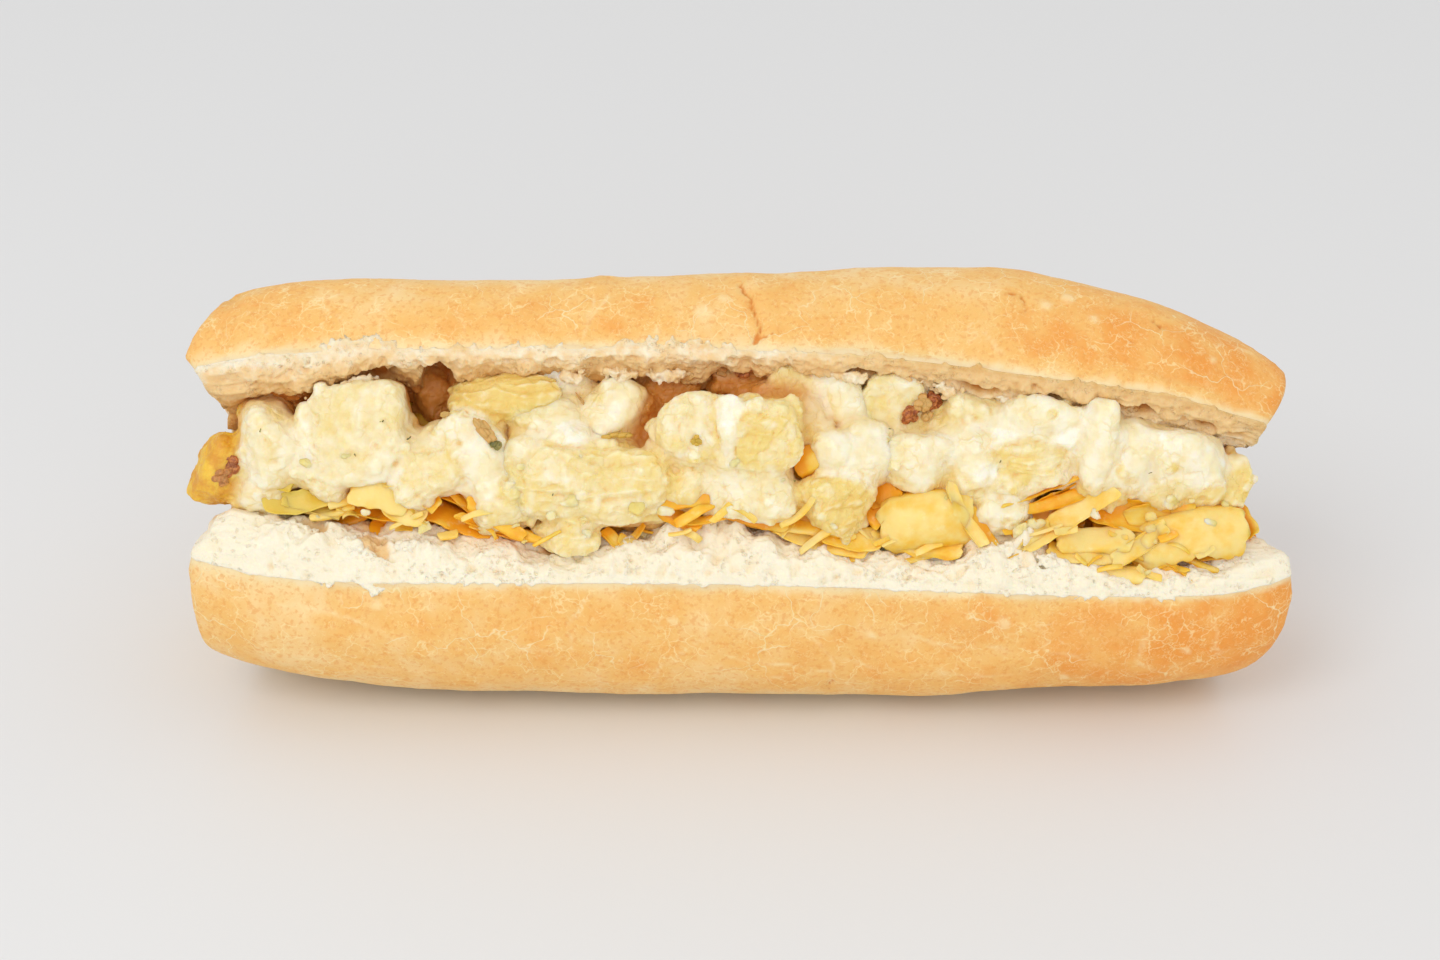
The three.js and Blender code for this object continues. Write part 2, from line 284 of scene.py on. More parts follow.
# %% Material helpers
class Finish:
    """A new material: reads a piece's own numbers, makes patterns, and feeds one Principled shader."""

    def __init__(self, name):
        self.material = bpy.data.materials.new(name)
        self.material.use_nodes = True
        self.shader = self.material.node_tree.nodes["Principled BSDF"]
        self.maker = Sock(self.material.node_tree, None)
        self.place = self.vector("SCALE", self.maker.node("ShaderNodeTexCoord", output=3), 1 / MM)

    def vector(self, operation, first, other):
        """Vector maths on two values, of which the second is one number where it scales the first."""
        inputs = {0: first, "Scale" if operation == "SCALE" else 1: other}
        return self.maker.node("ShaderNodeVectorMath", {"operation": operation}, inputs)

    def own(self, *names):
        """The numbers that the mesh stores under some names."""
        return [self.maker.node("ShaderNodeAttribute", {"attribute_name": name}, output=2) for name in names]

    def pattern(self, kind, size, place=None, settings=(), output=0, **more):
        """A texture node's output, with features of about size millimetres."""
        inputs = {"Vector": place or self.place, "Scale": 1 / size, **more}
        return self.maker.node("ShaderNodeTex" + kind, settings, inputs, output)

    def grain(self, size, detail=2.0, rough=0.5, warp=0.0):
        """Noise from 0 to 1 with lumps of about size millimetres."""
        return self.pattern("Noise", size, Detail=detail, Roughness=rough, Distortion=warp)

    def veins(self, size, place):
        """Distance to the nearest border between scattered cells of about size millimetres."""
        return self.pattern("Voronoi", size, place, {"feature": "DISTANCE_TO_EDGE"})

    def dots(self, size, place=None):
        """Distance to the nearest of points scattered about size millimetres apart."""
        return self.pattern("Voronoi", size, place)

    def shifted(self, size, reach):
        """The place, pushed about by noise, so that a pattern on it looks drawn by hand."""
        centred = self.vector("SUBTRACT", self.pattern("Noise", size, output=1, Detail=2.0), (0.5,) * 3)
        return self.vector("ADD", self.place, self.vector("SCALE", centred, reach))

    def finish(self, colour, roughness, height=None, depth=1.0, glow=(), shine=0.5):
        """Feeds in the colour, the roughness, a bump of the height, depth millimetres deep, how light
        passes through, as its amount, its reach in red, green and blue, and a scale, and the shine."""
        inputs = {"Base Color": colour, "Roughness": roughness, "Specular IOR Level": shine}
        inputs.update(zip(("Subsurface Weight", "Subsurface Radius", "Subsurface Scale"), glow))
        if height is not None:
            bump = {"Height": height, "Distance": depth * MM}
            inputs["Normal"] = self.maker.node("ShaderNodeBump", {}, bump)
        for key, value in inputs.items():
            self.maker.feed(self.shader.inputs[key], value)
        return self.material


print("shader helpers are ready")

# %% [markdown]
# ## The roll's form
# Each half of the split roll has a cut face, a crust that domes away from it, and blunt ends. A section
# across it is a superellipse: |a|^n + |b|^n = 1, an ellipse at n = 2 that grows boxier with n. The lower
# half leans back a little. The upper one turns about a hinge line at its back. These are the frame's own
# sizes, but the ends are cut as they look up close: blunt, with a ridge where two facets meet.

# %% Driving sizes, in millimetres and degrees
ROLL_LENGTH, HALF_WIDTH, CRUMB_SWELL = 199.0, 29.0, 5.0
RIM_HEIGHT, RIM_DROP, RIM_LIFT, RIGHT_RIM_RISE = 34.2, 3.8, 3.0, 2.5
LOWER_DEPTH, LOWER_THINNING, LOWER_KEEL_LIFT = 31.5, 5.0, 3.0
# The upper half's depth, and where it is fuller: by how much, at which x, over what reach
UPPER_DEPTH, UPPER_SWELLS = 21.2, ((6.8, 50.0, 40.0), (2.2, -90.0, 25.0))
LEAN_BACK, OPEN_ANGLE, OPEN_LOSS, HINGE_INSET = 7.0, 51.0, 6.5, 3.0
SQUARENESS, WIDTH_ROUNDING, LOWER_ROUNDING, UPPER_ROUNDING, POLE_OFFSET = 2.8, 6.0, 10.0, 5.0, 0.35
UPPER_DROOP = {1: (6.5, 72.0, 104.0), -1: (3.2, 76.0, 100.0)}
# Each end's facets: how far along the roll the front rim reaches, how deep in the crust the ridge lies
# and how much farther it reaches, the fall of the second facet, and the loss behind the rim, over two
# distances back from it. All are in millimetres.
ENDS = {("lower", 1): (101.2, 4.0, 1.2, 0.10, 7.0, (4.0, 12.0)),
        ("lower", -1): (99.5, 3.0, 0.9, 0.02, 4.5, (5.0, 19.0)),
        ("upper", 1): (95.4, 12.0, 8.0, 0.60, 4.5, (3.0, 10.0)),
        ("upper", -1): (98.4, 4.0, 3.6, 0.45, 4.0, (0.0, 14.0))}
END_REACH = {"lower": (5.5, -1.0, 0.0), "upper": (6.5, -2.0, 2.5)}
END_START, END_SOFTNESS = 88.0, 0.8


def end_share(x, exponent):
    """Share of the full size left at x: (1 - |x / half the length|^n)^(1/n)."""
    s = np.minimum(1.0, np.abs(x) / (ROLL_LENGTH / 2))
    return (1.0 - s ** exponent) ** (1.0 / exponent)


def half_width(x):
    return HALF_WIDTH * end_share(x, WIDTH_ROUNDING)


def rim_height(x):
    ends = RIM_LIFT * smoothstep(75, 100, -x) + RIGHT_RIM_RISE * smoothstep(82, 100, x)
    return RIM_HEIGHT - RIM_DROP * smoothstep(-20, 100, x) + ends


def lower_depth(x):
    return LOWER_DEPTH - LOWER_THINNING * smoothstep(0, 90, x) - LOWER_KEEL_LIFT * smoothstep(50, 90, -x)


def upper_depth(x):
    """The depth, and at each swell a bump more: by times e^-((x - at) / reach)^2."""
    return sum((by * np.exp(-(((x - at) / reach) ** 2)) for by, at, reach in UPPER_SWELLS), UPPER_DEPTH)


# %% Where each half's cut face lies
def yz(y, z):
    """Pairs in the plane across the roll, one for each x."""
    return np.stack(np.broadcast_arrays(y, z), axis=-1)


def lower_frame(x):
    """The lower half's front rim, the direction along its cut face to the hinge, and out of its crust."""
    lean, width = np.radians(LEAN_BACK), half_width(x)
    along, crustward = yz(np.cos(lean) + 0 * x, -np.sin(lean)), yz(-np.sin(lean) + 0 * x, -np.cos(lean))
    return {"name": "lower", "front": yz(-width, rim_height(x)), "along": along, "crustward": crustward,
            "half_width": width, "full_depth": lower_depth(x), "share": end_share(x, LOWER_ROUNDING)}


def hinge_line(x):
    """The line about which the upper half is folded back."""
    low = lower_frame(x)
    reach = np.maximum(2 * low["half_width"] - HINGE_INSET, low["half_width"])
    return low["front"] + low["along"] * reach[..., None]


def upper_frame(x):
    """The same for the upper half, whose cut face rises forwards from the hinge at the open angle."""
    opening = np.radians(OPEN_ANGLE - OPEN_LOSS * smoothstep(10, 100, x))
    width = np.maximum(half_width(x) - HINGE_INSET / 2, half_width(x) / 2)
    along, crustward = yz(np.cos(opening), -np.sin(opening)), yz(np.sin(opening), np.cos(opening))
    droop = sum(by * smoothstep(start, end, side * x) for side, (by, start, end) in UPPER_DROOP.items())
    front = hinge_line(x) - along * (2 * width)[..., None] - yz(0 * x, droop)
    return {"name": "upper", "front": front, "along": along, "crustward": crustward,
            "half_width": width, "full_depth": upper_depth(x), "share": end_share(x, UPPER_ROUNDING)}


def signed_power(value, exponent):
    return np.sign(value) * np.abs(value) ** exponent


def section(angle):
    """(across, out): the superellipse's two numbers at an angle round a section from its front rim."""
    return -signed_power(np.cos(angle), 2 / SQUARENESS), signed_power(np.sin(angle), 2 / SQUARENESS)


def end_limit(frame_at, side, x, middle):
    """How far along the roll an end may reach at each place across it: the two facets' heights."""
    near = frame_at(np.clip(x, -END_START, END_START))
    from_rim = middle - near["front"]
    inward, deep = ((from_rim * near[way]).sum(axis=-1) for way in ("along", "crustward"))
    base, tip, rise, fall, loss, back = ENDS[near["name"], side]
    facets = rise * np.clip(deep / tip, 0, 1) - fall * np.maximum(deep - tip, 0)
    return base + facets - loss * smoothstep(*back, inward)


def half_point(frame_at, x, angle, crumb=CRUMB_SWELL, sink=0.0, depth=None):
    """A half's surface at x along the roll and an angle round its section, from the front rim, 0, over
    the crust, up to pi, and back over the crumb, which bulges from the cut face. Sink moves the rim in,
    and a depth, where one is given, takes the place of the crust's. Towards an end x reaches farther,
    and then the facets stop it by a soft minimum: the limit, less ln(1 + e^(limit - x)) at the
    softness's scale."""
    x, angle = np.broadcast_arrays(x, angle)
    at = frame_at(x)
    across, out = section(angle)
    share, along, crustward = at["share"], at["along"], at["crustward"]
    middle = at["front"] + along * at["half_width"][..., None]
    middle = middle + crustward * (POLE_OFFSET * at["full_depth"] * (1 - share))[..., None]
    height = np.where(out > 0, (at["full_depth"] if depth is None else depth) * share, crumb * share)
    middle = middle + along * (across * np.maximum(at["half_width"] - sink, 0.0))[..., None]
    middle = middle + crustward * (out * height)[..., None]
    every, back, crust = END_REACH[at["name"]]
    bulk = np.maximum(out, 0) * share + POLE_OFFSET * (1 - share)
    reach = every + back * across * at["half_width"] / HALF_WIDTH + crust * bulk
    far = np.abs(x) + np.abs(x / (ROLL_LENGTH / 2)) ** 5 * reach
    limit = np.where(x > 0, end_limit(frame_at, 1, x, middle), end_limit(frame_at, -1, x, middle))
    far = limit - END_SOFTNESS * np.logaddexp(0, (limit - far) / END_SOFTNESS)
    return np.stack([np.sign(x) * far, middle[..., 0], np.maximum(middle[..., 1], 0.0)], axis=-1)


# %% Stations along the roll: even in its body, then closing rings on its ends
BODY_END = 0.86


def stations(body, end, exponent=WIDTH_ROUNDING):
    """x of every ring. Ring by ring, an end's share of the full width falls evenly towards nothing."""
    half = ROLL_LENGTH / 2
    shares = np.linspace((1 - BODY_END ** exponent) ** (1 / exponent), 0, end + 1)[1:-1]
    tail = half * (1 - shares ** exponent) ** (1 / exponent)
    return np.concatenate([-tail[::-1], np.linspace(-half * BODY_END, half * BODY_END, body), tail])


def even_angles(frame_at, count, density=None, **shape):
    """Angles that step evenly along the middle section, whose length is added up numerically. A density
    of an angle, where one is given, says how much closer together the steps are there."""
    fine = np.linspace(0, 2 * np.pi, 4001)
    ring = half_point(frame_at, np.zeros(1), fine, **shape)
    steps = np.linalg.norm(np.diff(ring, axis=0), axis=-1)
    if density is not None:
        steps = steps * density(fine[1:])
    length = np.concatenate([[0], np.cumsum(steps)])
    return np.interp(np.arange(count) / count * length[-1], length, fine)


def grid_normals(points):
    """Outward directions on a grid that closes round its second side: the cross product of its steps."""
    along = np.gradient(points, axis=0)
    padded = np.concatenate([points[:, -1:], points, points[:, :1]], axis=1)
    normal = np.cross((padded[:, 2:] - padded[:, :-2]) / 2, along)
    normal /= np.maximum(np.linalg.norm(normal, axis=-1, keepdims=True), 1e-9)
    centre = points.mean(axis=1, keepdims=True)
    return normal * np.median(np.sign(((points - centre) * normal).sum(axis=(1, 2), keepdims=True)))


# %% The design's own origin is moved to the frame's
CAD_RINGS, CAD_SECTION = 37, 25
design_x = np.sin(np.linspace(-0.5, 0.5, CAD_RINGS) * np.pi) * ROLL_LENGTH / 2
design_angles = np.linspace(0, 2 * np.pi, CAD_SECTION)
plain_roll = np.concatenate([half_point(make, design_x[1:-1, None], design_angles).reshape(-1, 3)
                             for make in (lower_frame, upper_frame)])
ROLL_BOX = [np.array(corner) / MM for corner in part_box("bread_roll")]
shift = np.array([0.0, ROLL_BOX[1][1] - plain_roll[:, 1].max(), 0.0])
print("box of the plain roll:", np.round(plain_roll.min(axis=0), 2), np.round(plain_roll.max(axis=0), 2))
print("box of the frame's roll:", *np.round(ROLL_BOX, 2), "shift:", np.round(shift, 2))


def tube_mesh(name, grid):
    """The mesh of a closed grid in the design's millimetres, moved to the frame's place."""
    return new_mesh(name, closed(grid) + shift, *skin_faces(*grid.shape[:2]))


def tube_stations(rings, first, last, exponent):
    """(x, share) of a tube's rings: x closes up towards its ends by the sine of an even step, and the
    share of the full size is (1 - |t|^n)^(1/n), with t from -1 to 1 along it."""
    t = np.sin(np.linspace(-0.5, 0.5, rings + 2)[1:-1] * np.pi)
    return (first + last) / 2 + t * (last - first) / 2, (1 - np.abs(t) ** exponent) ** (1 / exponent)

# %% [markdown]
# ## The crust
# A soft roll's crust is a thin golden skin with wide shallow dents, a fine grain, and a few creases,
# cracks and blisters. Those are placed by two lengths that a tape could measure: x along the roll, and w
# round the crust from the front rim.

# %% Lines drawn on the crust
def line_distance(x, w, path):
    """Distance in millimetres from each (x, w) to a line through the path's points."""
    here = np.stack([x, w], axis=-1)
    best = np.full(x.shape, 1e3)
    for start, end in zip(path[:-1], path[1:]):
        way = end - start
        t = np.clip(((here - start) @ way) / (way @ way), 0, 1)
        best = np.minimum(best, np.linalg.norm(here - start - t[..., None] * way, axis=-1))
    return best


# %% The relief of both halves
# A row is a kind, its width and its depth, or its height below 0, and its path as pairs of (x, w), all in
# millimetres. A thread is a pale hairline with no depth. A blister has one pair, and its radius for width.
UPPER_MARKS = """
crack 0.42 0.8 0.2 15.6 1.6 12.6 1.9 9.6 3.1 7.9 3.4 5.6 3.2 2
crack 0.3 0.7 49 17.3 51.4 17.8
crack 0.28 0.7 51.9 16.4 52.3 14.8 51.6 13
crack 0.3 0.8 76 16.2 77.6 15 76.8 14.2
crack 0.28 0.6 70.2 9.2 71.9 9.8
crack 0.25 0.35 3.2 3.6 7.2 4.1
crease 2.4 -0.45 1.8 18.5 4.4 12 6 3
crease 2.4 -0.55 -25.4 21 -26.4 15
crease 0.5 0.35 -26.8 12.5 -26.9 7 -26.5 2.5
crease 0.8 0.9 -93.2 17 -91.8 8 -92.3 1
crease 1.2 -0.45 -89.9 14 -89.6 8 -90.2 2
crease 0.9 0.25 -50.2 8.5 -49.4 2
crease 0.6 -0.35 74 1.5 80 2.6 86 2.4
crease 3 -0.3 20 14 40 15.5
crease 0.7 -0.5 66 0.6 69 3.2 73 3.2 78 2.2
thread 0.32 0 -77.8 13.1 -75 10.4 -72.6 7.9 -70.5 5.6
thread 0.32 0 -77 11.5 -71 13.5
thread 0.32 0 -65.7 11.7 -65.1 7 -65.1 3
thread 0.32 0 -51.3 7.9 -49.4 5.3 -49.8 2.7 -50.9 0.8
thread 0.32 0 -86.2 6.6 -85.4 4.7
thread 0.32 0 -26.5 14 -26.8 8 -28 3
thread 0.32 0 -24 12 -26.6 7
thread 0.32 0 44 8 47 4
thread 0.32 0 91 12 90 7
thread 0.32 0 86 9 85 4
blister 1.7 -0.35 60 18.4
blister 1.5 -0.3 55.6 15.6
blister 1.3 -0.25 64.8 13.8
blister 1.1 -0.2 86.1 10
blister 1.1 -0.2 92.9 15
blister 1.4 -0.15 -3.1 11.2
blister 2.2 -0.15 -6.4 8.2
blister 1.2 -0.1 -15 4"""
LOWER_MARKS = """
crack 0.3 0.5 16.6 27.5 17 22.5
crease 0.7 0.3 -31.3 14.6 -30.6 8.9 -28.6 4.9
crease 1.2 -0.5 96 4 97.5 14
crease 4 -0.3 -88 10 -60 12
crease 4 0.3 30 12 70 10
thread 0.32 0 -31.3 14.6 -30.6 8.9 -28.6 4.9 -25 1.8
thread 0.32 0 -25.8 28.5 -25.3 17 -27.9 12.3
thread 0.32 0 -18.3 28.5 -14.3 18.4 -7 12.1 -6.1 5.8
thread 0.32 0 -84.8 5.4 -73.9 6.4 -61.7 12.5
thread 0.32 0 9.2 7.5 17 14.5 26 19
thread 0.32 0 3 22 16.8 19
thread 0.32 0 17 14.5 16.8 24
thread 0.32 0 -2 16 9 17.5
thread 0.32 0 30 10 38 12.5 47 11.5
thread 0.32 0 56 12 66 15.5
thread 0.32 0 74 8 73 15 78 18
thread 0.32 0 -50 17 -39 14 -31 14.6
thread 0.32 0 -70 19 -58 21
thread 0.32 0 36 18.5 52 19.5
thread 0.32 0 86 5 88 14
blister 1.8 -0.15 48 6.5
blister 1.3 -0.15 24 10
blister 1.4 -0.15 -66 5
blister 1.2 -0.12 -12 8
blister 1.2 -0.15 82 12
blister 1.6 -0.12 60 20"""
CRUST_RINGS, CRUST_END_RINGS, CRUST_AROUND = 330, 46, 225
RIM_LIP, RIM_CALM = -5.0, 3.5


def crust_relief(points, x, w, seed, rows):
    """(move, crack, pale): wide dents, soft ripples and a fine grain, then a groove or ridge for each
    row, with the cracks marked in one number, and the threads and blisters in the other."""
    move = 0.60 * layered_noise(points, 30.0, seed, 3)
    move = move + 0.12 * layered_noise(points * (0.6, 1.0, 1.0), 6.0, seed + 3, 2)
    move = move + 0.05 * noise(points, 1.3, seed + 5)
    wobble_x = x + 0.9 * noise(points, 3.5, seed + 7) + 0.45 * noise(points, 1.1, seed + 8)
    wobble_w = w + 0.9 * noise(points, 3.5, seed + 9)
    patchy = 0.55 + 0.9 * noise(points, 2.5, seed + 11)
    crack, pale = np.zeros((2, *x.shape))
    for row in rows.strip().split("\n"):
        kind, *numbers = row.split()
        width, depth, *path = map(float, numbers)
        path = np.reshape(path, (-1, 2))
        if kind == "blister":
            line = smoothstep(1.0, 0.3, np.hypot(wobble_x - path[0, 0], w - path[0, 1]) / width)
        else:
            across = w if kind == "crease" else wobble_w
            line = np.exp(-((line_distance(wobble_x, across, path) / width) ** 2))
        move = move - depth * line
        if kind == "crack":
            crack = np.maximum(crack, line)
        elif kind != "crease":
            pale = np.maximum(pale, 0.9 * line * patchy if kind == "thread" else line)
    return move, crack, pale


def upper_bake(z, x, w):
    """How deep the upper half's colour is: deepest at the right and palest near the rim."""
    clear = smoothstep(0.0, 5.0, np.abs(w)) - 0.35 * smoothstep(11.0, 18.0, w) * smoothstep(40.0, 30.0, w)
    return 0.08 + 0.40 * clear + 0.36 * smoothstep(15, 98, x) + 0.22 * smoothstep(86, 95, -x)


def lower_bake_and_bounce(z, x, w):
    """The lower half's: palest underneath, near the floor, as painted bounce light from the floor."""
    # Paler within about 13 mm of the floor: painted bounce light.
    clear = smoothstep(-1.0, 4.0, w) - 0.85 * smoothstep(13.0, 2.0, z)
    return 0.06 + 0.40 * clear + 0.46 * smoothstep(25, 98, x) - 0.10 * smoothstep(70, 95, -x)


def crust_piece(name, frame_at, seed, rows, bake):
    """One half's crust: the plain form moved along its outward direction by the relief's millimetres.
    At the rim, where the torn skin is pale, the move falls to nothing."""
    x = stations(CRUST_RINGS, CRUST_END_RINGS)
    grid = half_point(frame_at, x[:, None], even_angles(frame_at, CRUST_AROUND, crumb=RIM_LIP), crumb=RIM_LIP)
    steps = np.linalg.norm(np.diff(grid, axis=1), axis=-1)
    w = np.concatenate([np.zeros((len(x), 1)), np.cumsum(steps, axis=1)], axis=1)
    girth = w[:, -1:] + np.linalg.norm(grid[:, -1] - grid[:, 0], axis=-1)[:, None]
    w = np.where(w > girth * 0.75, w - girth, w)
    move, crack, pale = crust_relief(grid, grid[..., 0], w, seed, rows)
    rim = smoothstep(2.2, 0.2, np.abs(w) + 0.9 * noise(grid, 3.0, 19) + 0.6 * noise(grid, 1.1, 18))
    marks = {"crack": crack, "pale": pale, "bake": bake(grid[..., 2], grid[..., 0], w), "rim": rim}
    grid = grid + grid_normals(grid) * (move * smoothstep(0.0, RIM_CALM, np.abs(w)))[..., None]
    grid[..., 2] = np.maximum(grid[..., 2], 0.0)
    mesh = tube_mesh(name, grid)
    mark(mesh, **{key: closed(value) for key, value in marks.items()})
    return mesh


# %% [markdown]
# ## The crust's finish
# Up close the golden ground is covered in short pale squiggles, where the skin blistered, and a thin pale
# web. The squiggles are the places where a noise crosses its own middle value, as the shore is where the
# land crosses the water's height, kept only in patches.

# %% Crust material
def crust_finish():
    make = Finish("golden_crust")
    crack, pale, bake, rim = make.own("crack", "pale", "bake", "rim")
    shade = bake + (make.grain(24.0, 3.0) - 0.5) * 0.7 + (make.grain(6.0, 3.0) - 0.5) * 0.85
    curls = make.grain(1.5, 1.0, 0.5, 1.6) - 0.5
    squiggles = 1 - curls.maths("ABSOLUTE", curls).step(0.0, 0.055)
    patches = make.grain(12.0, 3.0).step(0.38, 0.62) * 0.6 + 0.4
    flecks = squiggles * make.grain(1.9, 2.0).step(0.40, 0.60) * patches
    web = (1 - make.veins(12.0, make.shifted(4.0, 5.0)).step(0.0, 0.014)) * make.grain(15.0).step(0.46, 0.60)
    fine_web = 1 - make.veins(4.2, make.shifted(2.2, 3.0)).step(0.0, 0.04)
    skin = coats(
        shade.step(0.0, 0.55).mix((250, 217, 158), (246, 193, 112)),
        (shade.step(0.45, 1.05), (242, 160, 70)),
        (make.grain(0.75, 2.0, 0.6, 0.8).step(0.56, 0.70) * 0.30, (255, 224, 160)),
        (flecks * 0.60, (255, 226, 162)),
        (make.grain(0.95, 3.0, 0.6).step(0.50, 0.66) * 0.42, (233, 152, 66)),
        (fine_web * make.grain(7.0, 2.0).step(0.46, 0.60) * 0.62, (255, 228, 168)),
        (web * 0.75, (255, 232, 178)), (pale * 0.60, (255, 230, 176)),
        (crack.step(0.25, 0.95) * 0.85, (226, 140, 56)), (rim * 0.85, (253, 228, 180)))
    height = web * 0.3 + flecks * 0.12 + make.grain(0.8, 3.0) * 0.45
    return make.finish(skin, 0.60, height, 0.16, (0.12, (1.0, 0.45, 0.2), 0.0012), 0.30)


golden_crust = crust_finish()
for half, frame_at, *rest in (
        ("lower_crust", lower_frame, 11, LOWER_MARKS, lower_bake_and_bounce),
        ("upper_crust", upper_frame, 23, UPPER_MARKS, upper_bake)):
    add_piece(crust_piece(half, frame_at, *rest), golden_crust, *BREAD)

# %% [markdown]
# ## The crumb
# Where the roll was pulled open its crumb is torn: a rough, open foam with bubbles from half a millimetre
# to four. In the lower half it swells up under the filling. In the upper half pockets stay open above it,
# and what lies deep in them is painted tan to brown: painted shade, with some dressing soaked in. Each
# crumb is a slab on its cut face.

# %% How far the crumb swells from each cut face, and where it laps over the crust's edge
CRUMB_RINGS, CRUMB_END_RINGS, CRUMB_AROUND = 500, 38, 172
CRUMB_DEPTH, CRUMB_SINK, END_SINK = 9.0, 0.05, 0.999
FOAM_SIZES = ((6.5, 0.9), (3.1, 0.9), (1.6, 0.62), (0.85, 0.38))
MOUND_INWARD, MOUND_REACH, EVEN_SOAK_AND_SHADE = 6.5, 6.0, 0.50
# x, half length and height where the lower crumb stands up in front, under and between the filling
LOWER_MOUNDS = table("""-81 13 5   -70 8 4.4   -58 9 4   -45 9 2.2   -18 10 2.4   -3 15 5   13 9 2.2
28 8 1   49 10 5.2   62 6 1.4   92 7 2.6""", 1, 1, 1)
# x, half length and how far, in millimetres, torn crumb laps over the crust's edge
UPPER_LAPS = table("""-67 8 3.8   -52 9 1.7   -36 12 1.7   -14 15 2.6   12 10 1.2   30 12 1.2
50 10 1   66 9 0.9   84 6 0.6""", 1, 1, 1)
LOWER_LAPS = table("""-64 4.5 3.2   -72 4 1.3   -90 5 1   -50 6 1   -38 3 1.6   -20 14 0.9
8 10 0.8   62 9 1.3   75 7 1.2   86 5 0.8""", 1, 1, 1)
# x, distance in from the rim, half length, half depth and depth of bubbles and pockets seen in the crumb
UPPER_POCKETS = table("""
-65 6 4 3 3   -54.5 8 3.2 6 6   -16 9 6 3 2.2   0 8 7 3.2 2.4   22.5 3.6 3 1.6 2.4   43 3.2 5 1.3 2.4
55 3.2 3.6 1.3 2.4   63.5 3.2 2.2 1.1 2   70 3.2 4.2 1.5 3   81 3.2 2.4 1.1 2.2   86 3.2 2 1.1 2
-80 9 9 3 1""", 1, 1, 1, 1, 1)
LOWER_POCKETS = table("-75.5 6.5 3 2.2 1.5   -65 4.2 3.2 2.4 0.8   -33 5.6 3.2 1.8 0.9", 1, 1, 1, 1, 1)


def upper_swell(x):
    """Full and flat at the right, where the face shows as a band, and full at the left end too."""
    return (2.8 + 1.8 * smoothstep(30, 60, x) + 4.2 * smoothstep(60, 78, -x)) * smoothstep(99, 89, np.abs(x))


def lower_swell(x):
    return CRUMB_SWELL * smoothstep(101, 86, np.abs(x))


def tallest(x, rows):
    """The tallest of the rows at each x: each one is its height times 1 - (distance / half length)^4."""
    return np.max([height * np.clip(1 - ((x - at) / half) ** 4, 0, 1) for at, half, height in rows], axis=0)


# %% Torn crumb
def crumb_density(angle):
    """Most vertices go where the crumb shows: on the cut face near the front rim and just past it."""
    past_rim = np.minimum(angle, 2 * np.pi - angle)
    cut, crust = 0.55 + 2.4 * smoothstep(1.5, 0.6, past_rim), 0.10 + 2.6 * smoothstep(0.35, 0.1, past_rim)
    return np.where(angle > np.pi, cut, crust)


def foam(points, seed):
    """(relief, bubbles) in millimetres of a torn foam. Noise folded at 0 has thin crests with round
    hollows between them, at four sizes, and the bubbles torn open come off that."""
    shaken = points + 0.8 * noise(points, 2.4, seed)[..., None]
    crests = sum(height * (0.22 - np.abs(noise(shaken, size, seed + 20 + number)))
                 for number, (size, height) in enumerate(FOAM_SIZES))
    coarse, _, own = cells(shaken, 3.0, seed + 1)
    middle, _, _ = cells(shaken, 1.4, seed + 2)
    torn = smoothstep(-0.25, 0.35, noise(points, 11.0, seed + 3))
    bubbles = 0.8 * smoothstep(0.42, 0.15, coarse) * smoothstep(0.35, 0.65, own)
    bubbles = bubbles + 0.35 * smoothstep(0.42, 0.15, middle) * torn
    return crests - bubbles, bubbles + 0.6 * np.maximum(-crests, 0)


